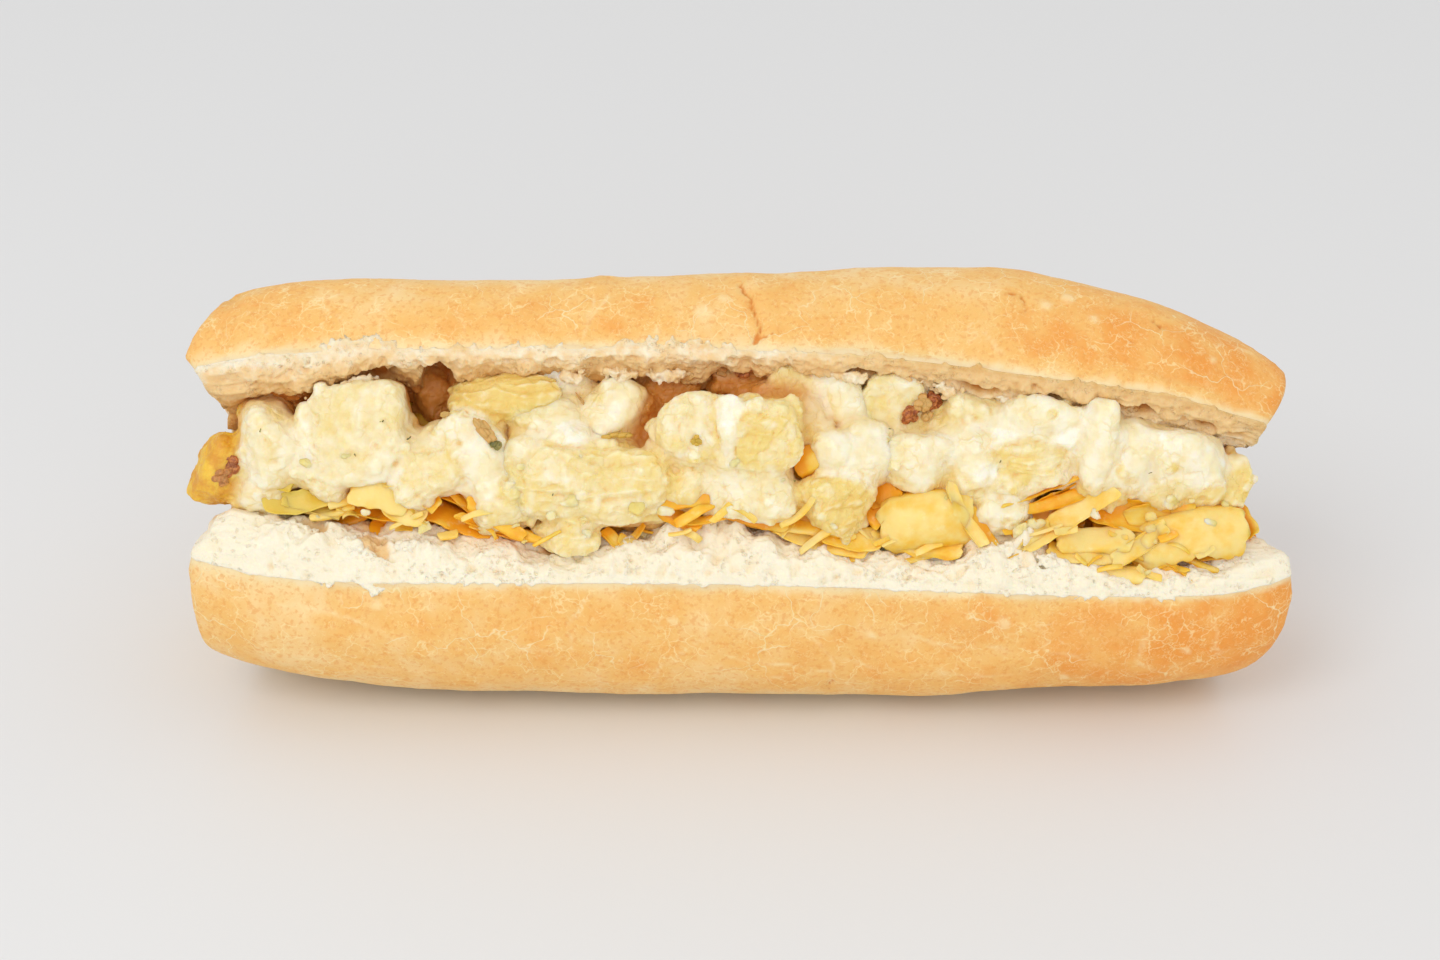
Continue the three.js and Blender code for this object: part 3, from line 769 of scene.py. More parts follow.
def crumb_piece(name, frame_at, seed, swell, tuft, mounds, laps, pockets, soaking):
    """A cut face's torn crumb. Tuft is the height of its lumps in millimetres. The last argument is a list of
    distances in from the rim, the depth of its tan to brown colour at each of them, that in its pockets,
    and how even it is at the right end. That colour is painted shade deeper in, with some dressing soaked
    in. At the left end the colour is weaker."""
    shape = {"sink": CRUMB_SINK, "depth": CRUMB_DEPTH}
    x = stations(CRUMB_RINGS, CRUMB_END_RINGS)
    angles = even_angles(frame_at, CRUMB_AROUND, crumb_density, crumb=1.0, **shape)
    grid = half_point(frame_at, x[:, None], angles, crumb=swell(x)[:, None], **shape)
    grid[..., 0] *= END_SINK
    normals = grid_normals(grid)
    across, crustward = (part[None, :] for part in section(angles))
    on_crust = crustward > 0
    inward = (1 + across) * half_width(x)[:, None]
    past_rim = np.where(across < 0, np.maximum(crustward, 0) * CRUMB_DEPTH, 9.0)
    off_rim = np.hypot(inward, np.maximum(-crustward, 0) * swell(x)[:, None])
    along = np.broadcast_to(x[:, None], inward.shape)
    # The second result marks the hollows that the crumb's material paints darker: painted shade.
    relief, bubbles = foam(grid, seed)
    ragged = 1.3 * noise(grid, 2.6, seed + 11) + 0.7 * noise(grid, 1.0, seed + 12)
    covered = smoothstep(0.0, 0.5, tallest(along, laps) + ragged - 0.4 - past_rim)
    brim = smoothstep(0.9, 0.3, past_rim - 0.5 * np.maximum(ragged, 0.0))
    lap = np.where(on_crust, np.maximum(covered, brim), 1.0)
    hollow, soak = 0.0, 0.0
    for at, inner, half, tall, depth in pockets:
        far = np.hypot((along - at) / half, (inward - inner) / tall) + 0.30 * noise(grid, 2.0, seed + 13)
        scoop = smoothstep(1.15, 0.58, far) * ~on_crust
        hollow, soak = hollow + depth * scoop, np.maximum(soak, scoop)
    lumps = tuft * layered_noise(grid, 6.0, seed + 14, 3, 0.6)
    shown = np.where(on_crust, lap, smoothstep(54.0, 46.0, inward))
    shown = shown * smoothstep(0.0, 5.0, 97.5 - np.abs(grid[..., 0]))
    mound = tallest(along + 3.0 * noise(grid, 7.0, seed + 16), mounds) * ~on_crust
    mound = mound * (0.85 + 0.55 * noise(grid, 4.5, seed + 17))
    mound = mound * np.exp(-(((inward - MOUND_INWARD) / MOUND_REACH) ** 2)) * smoothstep(-0.5, 2.5, inward)
    at_rim = smoothstep(1.4, 0.3, off_rim + past_rim * on_crust)
    move = (lumps + relief) * shown * (1 - at_rim) - hollow + mound
    edge = 0.08 + 0.22 * np.maximum(ragged, 0.0)
    proud = edge + 0.15 + 0.115 * past_rim ** 2
    move = move + np.where(on_crust, proud * lap - 0.5 * (1 - lap), edge * smoothstep(2.5, 0.0, off_rim))
    grid = grid + normals * move[..., None]
    grid[..., 2] = np.maximum(grid[..., 2], 0.3)
    mesh = tube_mesh(name, grid)
    uneven = off_rim + 2.5 * noise(grid, 5.0, seed + 15) + 1.2 * noise(grid, 1.6, seed + 18)
    distances, depths, in_pockets, evenness = soaking
    depth = np.interp(uneven, distances, depths) * (1 - 0.25 * smoothstep(70, 78, -along))
    even = np.maximum(EVEN_SOAK_AND_SHADE - 0.05 * off_rim, 0.12)
    depth = depth + (even - depth) * evenness * smoothstep(5, 36, along)
    # The crumb's tan to brown deeper in and in its pockets: painted shade, with some dressing soaked in.
    mark(mesh, pit=closed(bubbles), soak=closed(np.maximum(np.minimum(depth, 0.95), in_pockets * soak)))
    return mesh


# %% Crumb material
def crumb_finish():
    make = Finish("torn_crumb")
    pit, soak = make.own("pit", "soak")
    soak = soak + (make.grain(1.8, 3.0) - 0.5) * 0.45 * soak.step(0.02, 0.2)
    # Darker beige in the bubbles and the pores: painted shade in the hollows.
    pores = (1 - make.dots(0.9, make.shifted(1.2, 1.0)).step(0.12, 0.5)) * make.grain(3.0).step(0.44, 0.62)
    # Tan to brown where the crumb lies deeper in and in its pockets: painted shade, with some dressing soaked
    # in.
    ground = coats(
        make.grain(8.0, 3.0).mix((253, 238, 208), (255, 247, 226)),
        (pit.step(0.15, 0.9) * 0.38, (248, 224, 182)), (soak.step(0.0, 0.35), (242, 206, 150)),
        (soak.step(0.30, 0.65), (222, 173, 104)),
        (soak.step(0.62, 0.95), make.grain(2.6, 3.0).mix((218, 142, 60), (172, 90, 26))),
        (pores * 0.28, (240, 208, 158)))
    height = make.grain(0.7, 4.0, 0.65) * 0.8 - pores * 0.9 + make.dots(0.7) * 0.4
    return make.finish(ground, 0.85, height, 0.24, (0.30, (1.0, 0.72, 0.45), 0.0018), 0.2)


torn_crumb = crumb_finish()
for half, frame_at, *rest in (
        ("lower_crumb", lower_frame, 31, lower_swell, 0.8, LOWER_MOUNDS, LOWER_LAPS, LOWER_POCKETS,
         ((4.0, 9.0, 15.0), (0.0, 0.12, 0.8), 0.36, 0.0)),
        ("upper_crumb", upper_frame, 43, upper_swell, 1.05, [(0, 1, 0)], UPPER_LAPS, UPPER_POCKETS,
         ((0.0, 2.0, 5.0, 9.0, 14.0), (0.16, 0.30, 0.46, 0.70, 0.95), 1.0, 0.92))):
    add_piece(crumb_piece(half, frame_at, *rest), torn_crumb, *BREAD)

# %% [markdown]
# ## Where the filling lies
# The filling shows in the open mouth between the two front rims, so each of its pieces is placed by three
# lengths: x along the roll, the rise from the lower rim, 0, to the upper rim, 1, and how far out it stands
# from the straight line between the rims. A piece set this way stays with the bread from every side.

# %% The mouth's own directions
MOUTH_END = 90.0


def mouth_frame(x):
    """(low rim, gap, up, outward) at each x: the way up is from rim to rim, and outward is across it."""
    inner = np.clip(x, -MOUTH_END, MOUTH_END)
    low, high = lower_frame(inner)["front"], upper_frame(inner)["front"]
    gap = np.linalg.norm(high - low, axis=-1)
    up = (high - low) / gap[..., None]
    return low, gap, up, yz(-up[..., 1], up[..., 0])


def mouth_point(x, rise, out):
    """The point in space of a place in the mouth."""
    x, rise, out = np.broadcast_arrays(np.asarray(x, float), rise, out)
    low, gap, up, outward = mouth_frame(x)
    flat = low + up * (gap * rise)[..., None] + outward * out[..., None]
    return np.concatenate([x[..., None], flat], axis=-1)


def mouth_place(points):
    """The other way: each point's (x, rise in millimetres, out)."""
    low, _, up, outward = mouth_frame(points[:, 0])
    from_low = points[:, 1:] - low
    return np.stack([points[:, 0], (from_low * up).sum(-1), (from_low * outward).sum(-1)], axis=-1)


def turned(turn, nod, x):
    """Columns that carry a piece's own axes into the roll: turned in the mouth's plane, then nodded."""
    _, _, up, outward = mouth_frame(np.asarray(x, float))
    mouth = np.array([[1.0, 0, 0], [0, *up], [0, *outward]]).T
    t, n = np.radians(turn), np.radians(nod)
    spin = np.array([[np.cos(t), -np.sin(t), 0], [np.sin(t), np.cos(t), 0], [0, 0, 1.0]])
    tip = np.array([[1.0, 0, 0], [0, np.cos(n), -np.sin(n)], [0, np.sin(n), np.cos(n)]])
    return mouth @ spin @ tip


print("mouth height at the middle, mm:", round(float(mouth_frame(np.array(0.0))[1]), 1))

# %% [markdown]
# ## Egg chunks
# The egg was cooked, cut into blocks of one or two centimetres and tossed in a thick creamy dressing. A
# scaled sphere has no flats and a bevelled cube is too regular, so each chunk is a pebble with its own
# random cutting planes. All of them are melted into one skin with Blender's voxel remesh, as clay would
# be, and that skin gets its curds, layers and smears by moving its vertices.

# %% A chunk: rounded, with flat cut sides
SIDE_NORMALS = np.concatenate([np.eye(3), -np.eye(3)])


def ball(rings, around):
    """(directions, faces) of a sphere: a grid of rings from one end of the x axis to the other."""
    polar = np.linspace(0, np.pi, rings + 2)[1:-1, None]
    round_x = np.linspace(0, 2 * np.pi, around, endpoint=False)[None, :]
    ring = np.sin(polar)
    grid = np.stack(np.broadcast_arrays(-np.cos(polar), ring * np.cos(round_x), ring * np.sin(round_x)), -1)
    return np.concatenate([grid.reshape(-1, 3), [[-1.0, 0, 0], [1.0, 0, 0]]]), skin_faces(rings, around)


BIG, SMALL, TINY = ball(30, 44), ball(11, 16), ball(6, 9)


def chunk(size, seed, detail=BIG, power=7.0, cuts=12, low=0.82, high=1.05):
    """A pebble cut by planes. A plane's height h is its distance from the middle along its normal n. The
    radius in a direction d is the sum of (d.n / h)^p over the planes ahead of it, to the power -1/p."""
    chance = np.random.default_rng(seed)
    normals = chance.normal(size=(cuts, 3))
    normals /= np.linalg.norm(normals, axis=1, keepdims=True)
    half = np.array(size) / 2
    heights = np.linalg.norm(normals * half, axis=1) * chance.uniform(low, high, cuts)
    normals, heights = np.concatenate([normals, SIDE_NORMALS]), np.concatenate([heights, half, half])
    ahead = np.maximum(0.0, detail[0] @ normals.T / heights)
    return detail[0] * (ahead ** power).sum(axis=1, keepdims=True) ** (-1 / power)


def placed(place, size, seed, detail, turn, nod=0.0):
    """A chunk turned and set in its place in the mouth, with its faces."""
    return chunk(size, seed, detail) @ turned(turn, nod, place[0]).T + mouth_point(*place), detail[1]


# %% Where the chunks are, as (x, rise, out), size, turn, and how yellow, curdled, layered and creamy
EGG_CHUNKS = table("""
-93.5 0.48 -8 15 15 15 -8 0.8 0.2 0 0
-84.5 0.585 -5 15 19 16 8 0.25 0.1 0 0.5
-87 0.36 -7 12 8 12 -20 0.1 0.1 0 0.6
-67.5 0.63 -4 20.5 20.5 17 3 0.3 0.05 0 0.25
-73.5 0.47 -4.5 14 9 12 -12 0.15 0.1 0 0.6
-56.5 0.5 -3.5 14 13 14 26 0.3 0.2 0.1 0.5
-48 0.55 -3.5 16 14 14 -18 0.3 0.3 0.1 0.55
-41.5 0.8 -7 22 10 14 -8 1.15 0.25 0.9 0
-34 0.7 -5.5 22 8 13 -10 0.35 0.1 0.6 0.4
-36 0.53 -3.5 17 13 14 -8 0.4 0.3 0.5 0.45
-29 0.42 -2 27 17 15 -6 0.5 0.35 0.9 0.1
-20.5 0.41 -2.5 17 15 15 8 0.55 0.4 0.8 0.05
-41.5 0.34 -3.5 15 11 13 8 0.4 0.4 0.5 0.35
-30.5 0.21 -2.5 14 6 10 4 0.5 0.4 0.8 0.1
-22.5 0.73 -8 17 12 14 12 0.3 0.3 0.2 0.5
-15 0.6 -9 10 12 12 0 0.35 0.3 0 0.4
1.8 0.66 -1.2 24 13.5 15 4 0.7 0.7 0 0.05
-8.5 0.645 -1 15 13.5 15 -6 0.35 0.4 0 0.45
0.5 0.4 -4.5 27 10 15 -3 0.25 0.2 0.2 0.45
-9.5 0.4 -4 11 9 13 12 0.5 0.8 0 0.1
9.5 0.85 -7 10 10 12 28 0.6 0.5 0 0.3
16.5 0.37 -3 14.5 12 13 -24 1 0.8 0.3 0
22.5 0.56 -4.5 14 13 14 30 0.3 0.3 0 0.6
17.5 0.575 -1 9.5 8.5 9 10 0 0 0 1
18.5 0.81 -6.5 9 15 9 14 0.1 0 0 0.9
26.5 0.77 -6.5 12 15 7 -14 0.45 0.1 0.3 0.3
33.5 0.72 -7.5 15 13 9 12 0.35 0.1 0.3 0.4
31 0.56 -4 17 11 14 -10 0.35 0.5 0.1 0.5
44.5 0.79 -7.5 17 10 13 -12 0.45 0.4 0.3 0.35
41.5 0.64 -5 15 10 13 14 0.3 0.2 0.2 0.6
40 0.48 -6.5 15 9 13 -18 0.55 0.7 0.1 0.2
52.5 0.64 -4.5 18 9 13 -8 0.55 0.4 0.8 0.15
54 0.79 -4.5 19 8 12 -14 0.3 0.2 0.3 0.7
50.5 0.51 -6 16 8 12 16 0.4 0.5 0.3 0.4
64.5 0.72 -2.5 8.5 19 9 -4 0.1 0 0 1
71.5 0.7 -5.5 14 17 14 10 0.3 0.1 0 0.75
81 0.74 -4.5 19 10 13 -13 0.25 0.1 0 0.9
79 0.57 -6.5 21 10 14 -8 0.65 0.6 0.1 0.2
89 0.66 -7.5 9.5 12 12 -24 1.1 0.3 0 0.1
66.5 0.53 -6.5 14 9 12 6 0.6 0.7 0.1 0.2
47 0.38 -6 13 9 11 8 0.25 0.5 0 0.6
22.5 0.93 -11 11 8 10 5 0.3 0.2 0 0.6
37.5 0.925 -11.5 13 8 10 -6 0.35 0.3 0 0.5
46 0.92 -11.5 10 7 9 8 0.3 0.3 0 0.6
59.5 0.92 -9.5 11 8 9 -4 0.3 0.2 0 0.7
72 0.91 -9.5 10 8 9 -8 0.2 0.2 0 0.8
81.5 0.89 -8.5 11 7 8 -12 0.3 0.3 0 0.6
-42 0.94 -13 16 8 10 -4 0.6 0.2 0.3 0.3
-26 0.93 -13.5 12 8 9 6 0.4 0.3 0.2 0.4
-12 0.89 -9.5 14 9 9 4 0.5 0.4 0 0.2
1.5 0.9 -9.5 16 9 9 -4 0.5 0.5 0 0.2
-55 0.82 -14 11 12 8 0 0.5 0.3 0 0.2""", 3, 3, 1, 4)

# %% Dabs of dressing, as (x, rise, out) and size: they bridge chunks, and hold some to the bread above
DRESSING = table("""
-77 0.62 -4.5 6 15 10   -58 0.4 -4 9 7 9   -47 0.45 -3 9 7 9   -61 0.47 -1.8 6.5 5 6
-30.5 0.6 -0.5 8.5 9 7   -38.5 0.47 -1.5 7 6 6   -25 0.56 -2.5 7 5 7   -1.8 0.7 3 4.2 12 8
6 0.52 -3 9 5 9   13.5 0.7 -4.5 7 13 9   14.5 0.88 -7 9 8 9   24 0.66 -3 8 6 7   37 0.61 -3.5 8 8 8
47.5 0.71 -2.8 10 4.5 6   59 0.76 -2.5 9 5 7   65 0.9 -7 10 9 9   76 0.77 -2.2 12 4.5 6
83.5 0.735 -1.6 11 4 5   -32 0.86 -9 15 7 9   -71 0.88 -10 9 9 9   30 0.92 -11 12 8 9
52 0.91 -10 12 7 9   -86 0.8 -10 9 8 9   -18 0.89 -13 12 7 9   43 0.55 -3 7 7 7   57.5 0.56 -4.5 9 5 8
5 0.8 -5.5 9 6 8""", 3, 3)
DRESSING_TRAITS = (-0.5, 0.0, 0.0, 1.0)
chunk_rows = EGG_CHUNKS + [(place, size, 0, DRESSING_TRAITS) for place, size in DRESSING]
chunk_turns = [(turn, 14 * np.sin(2.1 * number)) for number, (_, _, turn, _) in enumerate(chunk_rows)]
print(len(EGG_CHUNKS), "chunks and", len(DRESSING), "dabs of dressing")


# %% Melting overlapping shapes into one skin
def joined(shapes):
    """(points, quads, triangles) of several closed grids of points with their faces, side by side."""
    starts = np.cumsum([0] + [len(points) for points, _ in shapes[:-1]])
    faces = (np.concatenate([parts[kind] + start for (_, parts), start in zip(shapes, starts)])
             for kind in (0, 1))
    return np.concatenate([points for points, _ in shapes]), *faces


def melted(name, shapes, voxel, rounds):
    """The outer skin of overlapping closed shapes: Blender's voxel remesh, then its corners softened by
    moving each vertex towards the mean of its neighbours for a number of rounds."""
    clay = show("clay", new_mesh("clay", *joined(shapes)))
    remesh = clay.modifiers.new("remesh", "REMESH")
    remesh.mode, remesh.voxel_size = "VOXEL", voxel * MM
    skin = bpy.data.meshes.new_from_object(clay.evaluated_get(bpy.context.evaluated_depsgraph_get()))
    skin.name = name
    bpy.data.objects.remove(clay)
    set_points(skin, relaxed(mesh_points(skin)[0], mesh_edges(skin), rounds))
    return skin


def mesh_edges(mesh):
    edges = np.empty(len(mesh.edges) * 2, np.int32)
    mesh.edges.foreach_get("vertices", edges)
    return edges.reshape(-1, 2)


def relaxed(points, edges, rounds, share=0.6):
    """Moves each point a share of the way to its neighbours' mean, a number of times."""
    a, b = edges.T
    count = np.bincount(edges.ravel(), minlength=len(points))[:, None]
    for _ in range(rounds):
        total = np.stack([np.bincount(a, axis[b], len(points)) + np.bincount(b, axis[a], len(points))
                          for axis in points.T], axis=-1)
        points = points + share * (total / count - points)
    return points


def set_points(mesh, points):
    mesh.vertices.foreach_set("co", (points * MM).astype(np.float32).ravel())
    mesh.update()


# %% The traits of the nearest chunks, and how hollow each place is
def blended_traits(points, rows, turns):
    """Each point's traits: the mean of all the chunks' traits, weighted by e^(-9 d), where d is the
    distance from a chunk's middle in units of its own half size."""
    weights, total = np.full((len(points), 1), 1e-9), np.zeros((len(points), 4))
    for (place, size, _, traits), (turn, nod) in zip(rows, turns):
        from_middle = points - mouth_point(*place)
        close = np.flatnonzero(np.abs(from_middle).max(axis=1) < max(size))
        local = from_middle[close] @ turned(turn, nod, place[0]) / (np.array(size) / 2)
        weight = np.exp(-9.0 * np.linalg.norm(local, axis=1))[:, None]
        total[close] += weight * np.array(traits)
        weights[close] += weight
    return (total / weights).T


def hollowness(points, normals, edges, rounds):
    """Millimetres by which the surface lies below its own softened copy: positive in a groove."""
    return ((relaxed(points, edges, rounds) - points) * normals).sum(axis=1)


# %% How far back each place lies
NEAR_BINS = [(i, j) for i in (-1, 0, 1) for j in (-1, 0, 1)]


def tucked(places, step, *others):
    """Millimetres from each place back to the foremost filling around it. Every (x, rise) falls into a
    square bin that keeps its foremost point. A bin takes its neighbours' largest, and then their mean."""
    everything = np.concatenate([places, *others])
    bins = np.floor((everything[:, :2] - everything[:, :2].min(axis=0)) / step).astype(int) + 2
    front = np.full(bins.max(axis=0) + 3, -40.0)
    np.maximum.at(front, tuple(bins.T), everything[:, 2])
    front = np.max([np.roll(front, near, (0, 1)) for near in NEAR_BINS], axis=0)
    front = np.mean([np.roll(front, near, (0, 1)) for near in NEAR_BINS], axis=0)
    return front[tuple(bins[:len(places)].T)] - places[:, 2]


# %% The skin's relief: curds, layers and smears
def egg_relief(points, normals, traits, groove, seed):
    """(moved points, yellow, cream): curds are cells, each with a height and a tone of its own, layers are
    noise drawn out along the roll, and dressing lies smooth and a little proud over both. A chunk's
    edges, where the groove is negative, crumble more."""
    yellow, curd, layer, creamy = traits
    patches = layered_noise(points, 5.5, seed, 3, 0.6)
    cream = smoothstep(0.25, 0.70, creamy + 0.50 * patches)
    soft = 0.42 * layered_noise(points, 5.0, seed + 1, 3)
    near, second, own = cells(points + 0.7 * noise(points, 1.6, seed + 2)[:, None], 2.5, seed + 3)
    curds = 0.50 * smoothstep(0.0, 0.40, second - near) + 0.6 * (own - 0.5) - 0.2 * near
    sheets = points * (0.14, 1.0, 1.0) + 0.5 * noise(points, 6.0, seed + 4)[:, None]
    layers = 0.50 * (1 - 2 * np.abs(noise(sheets, 1.9, seed + 5)))
    pits = -0.5 * smoothstep(0.25, 0.6, noise(points, 2.2, seed + 6))
    crumbled = 1 + 0.6 * smoothstep(0.2, 1.1, -groove)
    rough = curds * (0.14 + 0.46 * curd) * crumbled + layers * layer + pits * (1 - layer) * 0.6
    rough = rough + 0.09 * noise(points, 1.25, seed + 10) * crumbled
    strokes = points + 0.7 * noise(points, 2.8, seed + 12)[:, None]
    smear = 0.30 + 0.26 * noise(points * (1.0, 0.6, 0.6), 3.2, seed + 7)
    smear = smear + 0.34 * (0.4 - np.abs(noise(strokes, 2.4, seed + 11)))
    move = soft + rough * (1 - 0.85 * cream) + smear * cream + 0.03 * noise(points, 0.9, seed + 8)
    return points + normals * move[:, None], yellow + 0.6 * (own - 0.5) * (0.35 + curd), cream


# %% Dressing in the corners between chunks, and loose curds on them
CURDS_PER_CHUNK, GOLDEN_EDGE = 8, (-89.0, -92.5)


def fillets(rows):
    """A dab of dressing between each two chunks that nearly touch, half as wide as the smaller one."""
    places = np.array([place for place, _, _, _ in rows])
    heights = mouth_frame(places[:, 0])[1]
    spots = places * np.stack([np.ones(len(rows)), heights, np.ones(len(rows))], axis=1)
    radii = np.array([np.mean(size) / 2 for _, size, _, _ in rows])
    found = []
    for i, j in zip(*np.triu_indices(len(rows), 1)):
        near, wide = radii[i] + radii[j], 1.05 * min(radii[i], radii[j])
        if np.linalg.norm(spots[i] - spots[j]) < 1.05 * near and min(radii[i], radii[j]) > 5.0:
            middle = (places[i] * radii[j] + places[j] * radii[i]) / near
            found.append((tuple(middle - (0, 0, 0.6)), (wide,) * 3, 40 * (i - j), (0.35, 0.2, 0.1, 0.75)))
    return found


def loose_curds(shapes, rows, seed):
    """Small curds at random points of each chunk's front, half sunk in."""
    chance = np.random.default_rng(seed)
    found = []
    for (points, _), (_, size, _, traits) in zip(shapes, rows):
        if traits[3] > 0.95 or min(size) < 7 or points[:, 0].mean() < GOLDEN_EDGE[0]:
            continue
        local = mouth_place(points)
        front = np.flatnonzero(local[:, 2] > np.median(local[:, 2]))
        for pick in chance.choice(front, CURDS_PER_CHUNK):
            x, height, out = local[pick]
            curd = chance.uniform(1.4, 3.4) * chance.uniform(0.7, 1.2, 3)
            look = (chance.uniform(0.1, 1.0), chance.uniform(0, 0.8), 0.0, chance.uniform(0.0, 0.6))
            rise = height / float(mouth_frame(np.array(x))[1])
            found.append(((x, rise, out - 0.2 * curd.mean()), tuple(curd), chance.uniform(-90, 90), look))
    return found


# %% One group of chunks at a time
EGG_VOXEL, EGG_TUCK, CORNER_ROUNDS = 0.45, 2.6, (40, 25)
GROOVE_ROUNDS, CREVICE_ROUNDS, TUCK_ROUNDS, SLICE_ROUNDS = 45, 8, 24, 5
heap_places = []
EGG_GROUPS = {"egg_left": (-110.0, -38.0), "egg_middle": (-38.0, 25.0), "egg_right": (25.0, 110.0)}


def egg_group(name, first, last, seed):
    """The chunks whose middles lie between two x, melted into one skin. Its hollow corners are filled by
    taking the softened copy there. Then it gets its relief and the numbers for the shader."""
    chosen = [i for i, row in enumerate(chunk_rows) if first <= row[0][0] < last]
    rows, turns = [chunk_rows[i] for i in chosen], [chunk_turns[i] for i in chosen]
    shapes = [placed(place, size, 100 + i, BIG, *turn)
              for i, (place, size, _, _), turn in zip(chosen, rows, turns)]
    for row in fillets(rows) + loose_curds(shapes, rows, seed):
        rows.append(row)
        turns.append((row[2], 0.0))
        shapes.append(placed(*row[:2], len(rows), SMALL, row[2]))
    mesh = melted(name, shapes, EGG_VOXEL, 3)
    edges = mesh_edges(mesh)
    for rounds in CORNER_ROUNDS:
        points, normals = mesh_points(mesh)
        soft = relaxed(points, edges, rounds)
        hollow = ((soft - points) * normals).sum(axis=1)
        set_points(mesh, points + (soft - points) * smoothstep(0.0, 0.35, hollow)[:, None])
    points, normals = mesh_points(mesh)
    groove = hollowness(points, normals, edges, GROOVE_ROUNDS)
    traits = blended_traits(points, rows, turns)
    points, yellow, cream = egg_relief(points, normals, traits, groove, seed)
    set_points(mesh, points)
    points, normals = mesh_points(mesh)
    places = mouth_place(points)
    heap_places.append(places)
    set_points(mesh, points + shift)
    golden = smoothstep(*GOLDEN_EDGE, points[:, 0] + 2.5 * noise(points, 6.0, seed + 9))
    # How far back each place lies, for the ochre to brown painted shade deep in the heap.
    tuck = relaxed(tucked(places, EGG_TUCK)[:, None], edges, TUCK_ROUNDS)[:, 0]
    mark(mesh, yellow=yellow, cream=cream, golden=golden, groove=groove,
         crevice=hollowness(points, normals, edges, CREVICE_ROUNDS), tuck=tuck)
    return mesh


# %% [markdown]
# ## The dressed egg's finish
# The cooked egg runs from cream to a dull yellow. The dressing is nearly white, and wetter, so it is
# smoother. In the grooves the light passes through egg before it comes out again, and that is painted here
# as a warm ochre: painted shade, as are the ochre creases and fine hollows and the brown far back in the
# heap. Fine bumps get a painted highlight and the chunks' edges a painted yellow glow. One end was against
# the pan and is golden.

# %% Egg material
def egg_finish():
    make = Finish("dressed_egg")
    yellow, cream, golden, groove, crevice, tuck = make.own(
        "yellow", "cream", "golden", "groove", "crevice", "tuck")
    mottle, blotch = make.grain(2.6, 4.0, 0.6), make.grain(7.0, 3.0)
    strength = (yellow * 0.9 + (mottle - 0.5) * 1.0 + (blotch - 0.5) * 0.9 + 0.08).step(0.0, 1.0)
    egg = coats(
        strength.mix((245, 234, 198), (240, 214, 130)), (yellow.step(0.85, 1.5), (230, 190, 92)),
        (make.dots(1.6, make.shifted(1.5, 0.9)).step(0.30, 0.75) * 0.22, (232, 200, 112)))
    dressing = make.grain(3.5, 3.0).step(0.35, 0.65).mix((249, 240, 214), (244, 230, 188))
    # Convex chunk edges turn yellow: a painted glow of light through the thin edges.
    edge = (1 - groove.step(-1.25, -0.25)) * make.grain(4.5, 3.0).step(0.35, 0.60)
    # Grooves turn a warm ochre: painted shade.
    low = groove.step(0.2, 1.4)
    # Thin ochre lines between the curds: painted shade in the creases, with a small bump.
    creases = 1 - make.veins(3.2, make.shifted(2.0, 3.0)).step(0.0, 0.11)
    creases = creases * make.grain(5.0, 2.0).step(0.42, 0.60)
    white = (make.grain(3.0, 4.0, 0.6) * 1.6 - 0.8 - yellow).step(0.05, 0.55)
    fried = make.grain(3.6, 4.0, 0.65).step(0.35, 0.65).mix((242, 196, 56), (218, 150, 28))
    surface = coats(
        cream.mix(egg, dressing), (edge * (1 - cream * 0.45) * 0.75, (250, 214, 108)),
        # Grooves and fine hollows ochre: painted shade. Fine bumps whiter: painted highlight.
        (low * 0.50, (236, 196, 108)), ((crevice * -1.0).step(0.04, 0.30) * 0.40, (254, 246, 220)),
        (crevice.step(0.05, 0.30) * 0.50, (234, 184, 80)), (creases * 0.34, (238, 208, 122)),
        (white * (1 - low * 0.6) * cream * 0.9, (255, 249, 232)),
        # Ochre, then brown, the farther back a place lies in the heap: painted shade.
        (tuck.step(1.8, 5.0) * 0.45, (242, 208, 122)), (tuck.step(4.0, 9.0) * 0.92, (208, 130, 38)),
        (golden * 0.92, fried))
    height = make.grain(0.8, 3.0) * (1 - cream * 0.8) + make.dots(1.1) * 0.4 * (1 - cream) - creases * 0.5
    return make.finish(surface, 0.50 - cream * 0.20, height, 0.13, (0.45, (1.0, 0.70, 0.28), 0.0034), 0.45)


dressed_egg = egg_finish()
for number, (group, (first, last)) in enumerate(EGG_GROUPS.items()):
    add_piece(egg_group(group, first, last, 60 + 20 * number), dressed_egg, *EGG)
heap = np.concatenate(heap_places)
print("front of the egg, mm out:", round(float(heap[:, 2].max()), 2))

# %% [markdown]
# ## The heap's inside
# Behind the front chunks the same filling goes on to the hinge. Only its hollows show between the chunks
# and at the two ends, so a single lumpy bar is enough there.

# %% The egg core
CORE_RINGS, CORE_AROUND = 190, 96


def filling_bar(name, first, last, rise, out, height, depth, relief):
    """A bar through the mouth: an oval of the given height and depth that closes at its two ends, with
    its vertices moved along their normals by the relief."""
    x, share = tube_stations(CORE_RINGS, first, last, 6)
    angles = np.linspace(0, 2 * np.pi, CORE_AROUND, endpoint=False)
    rises = rise + (share[:, None] * np.sin(angles) * height / 2) / mouth_frame(x)[1][:, None]
    grid = mouth_point(x[:, None], rises, out + share[:, None] * np.cos(angles) * depth / 2)
    return tube_mesh(name, grid + grid_normals(grid) * relief(grid)[..., None])


def egg_lumps(points):
    return 3.4 * (0.6 - cells(points, 9.0, 81)[0]) + 0.6 * layered_noise(points, 3.0, 82, 2)


core = filling_bar("egg_core", -85.0, 86.0, 0.60, -28.0, 29.0, 34.0, egg_lumps)
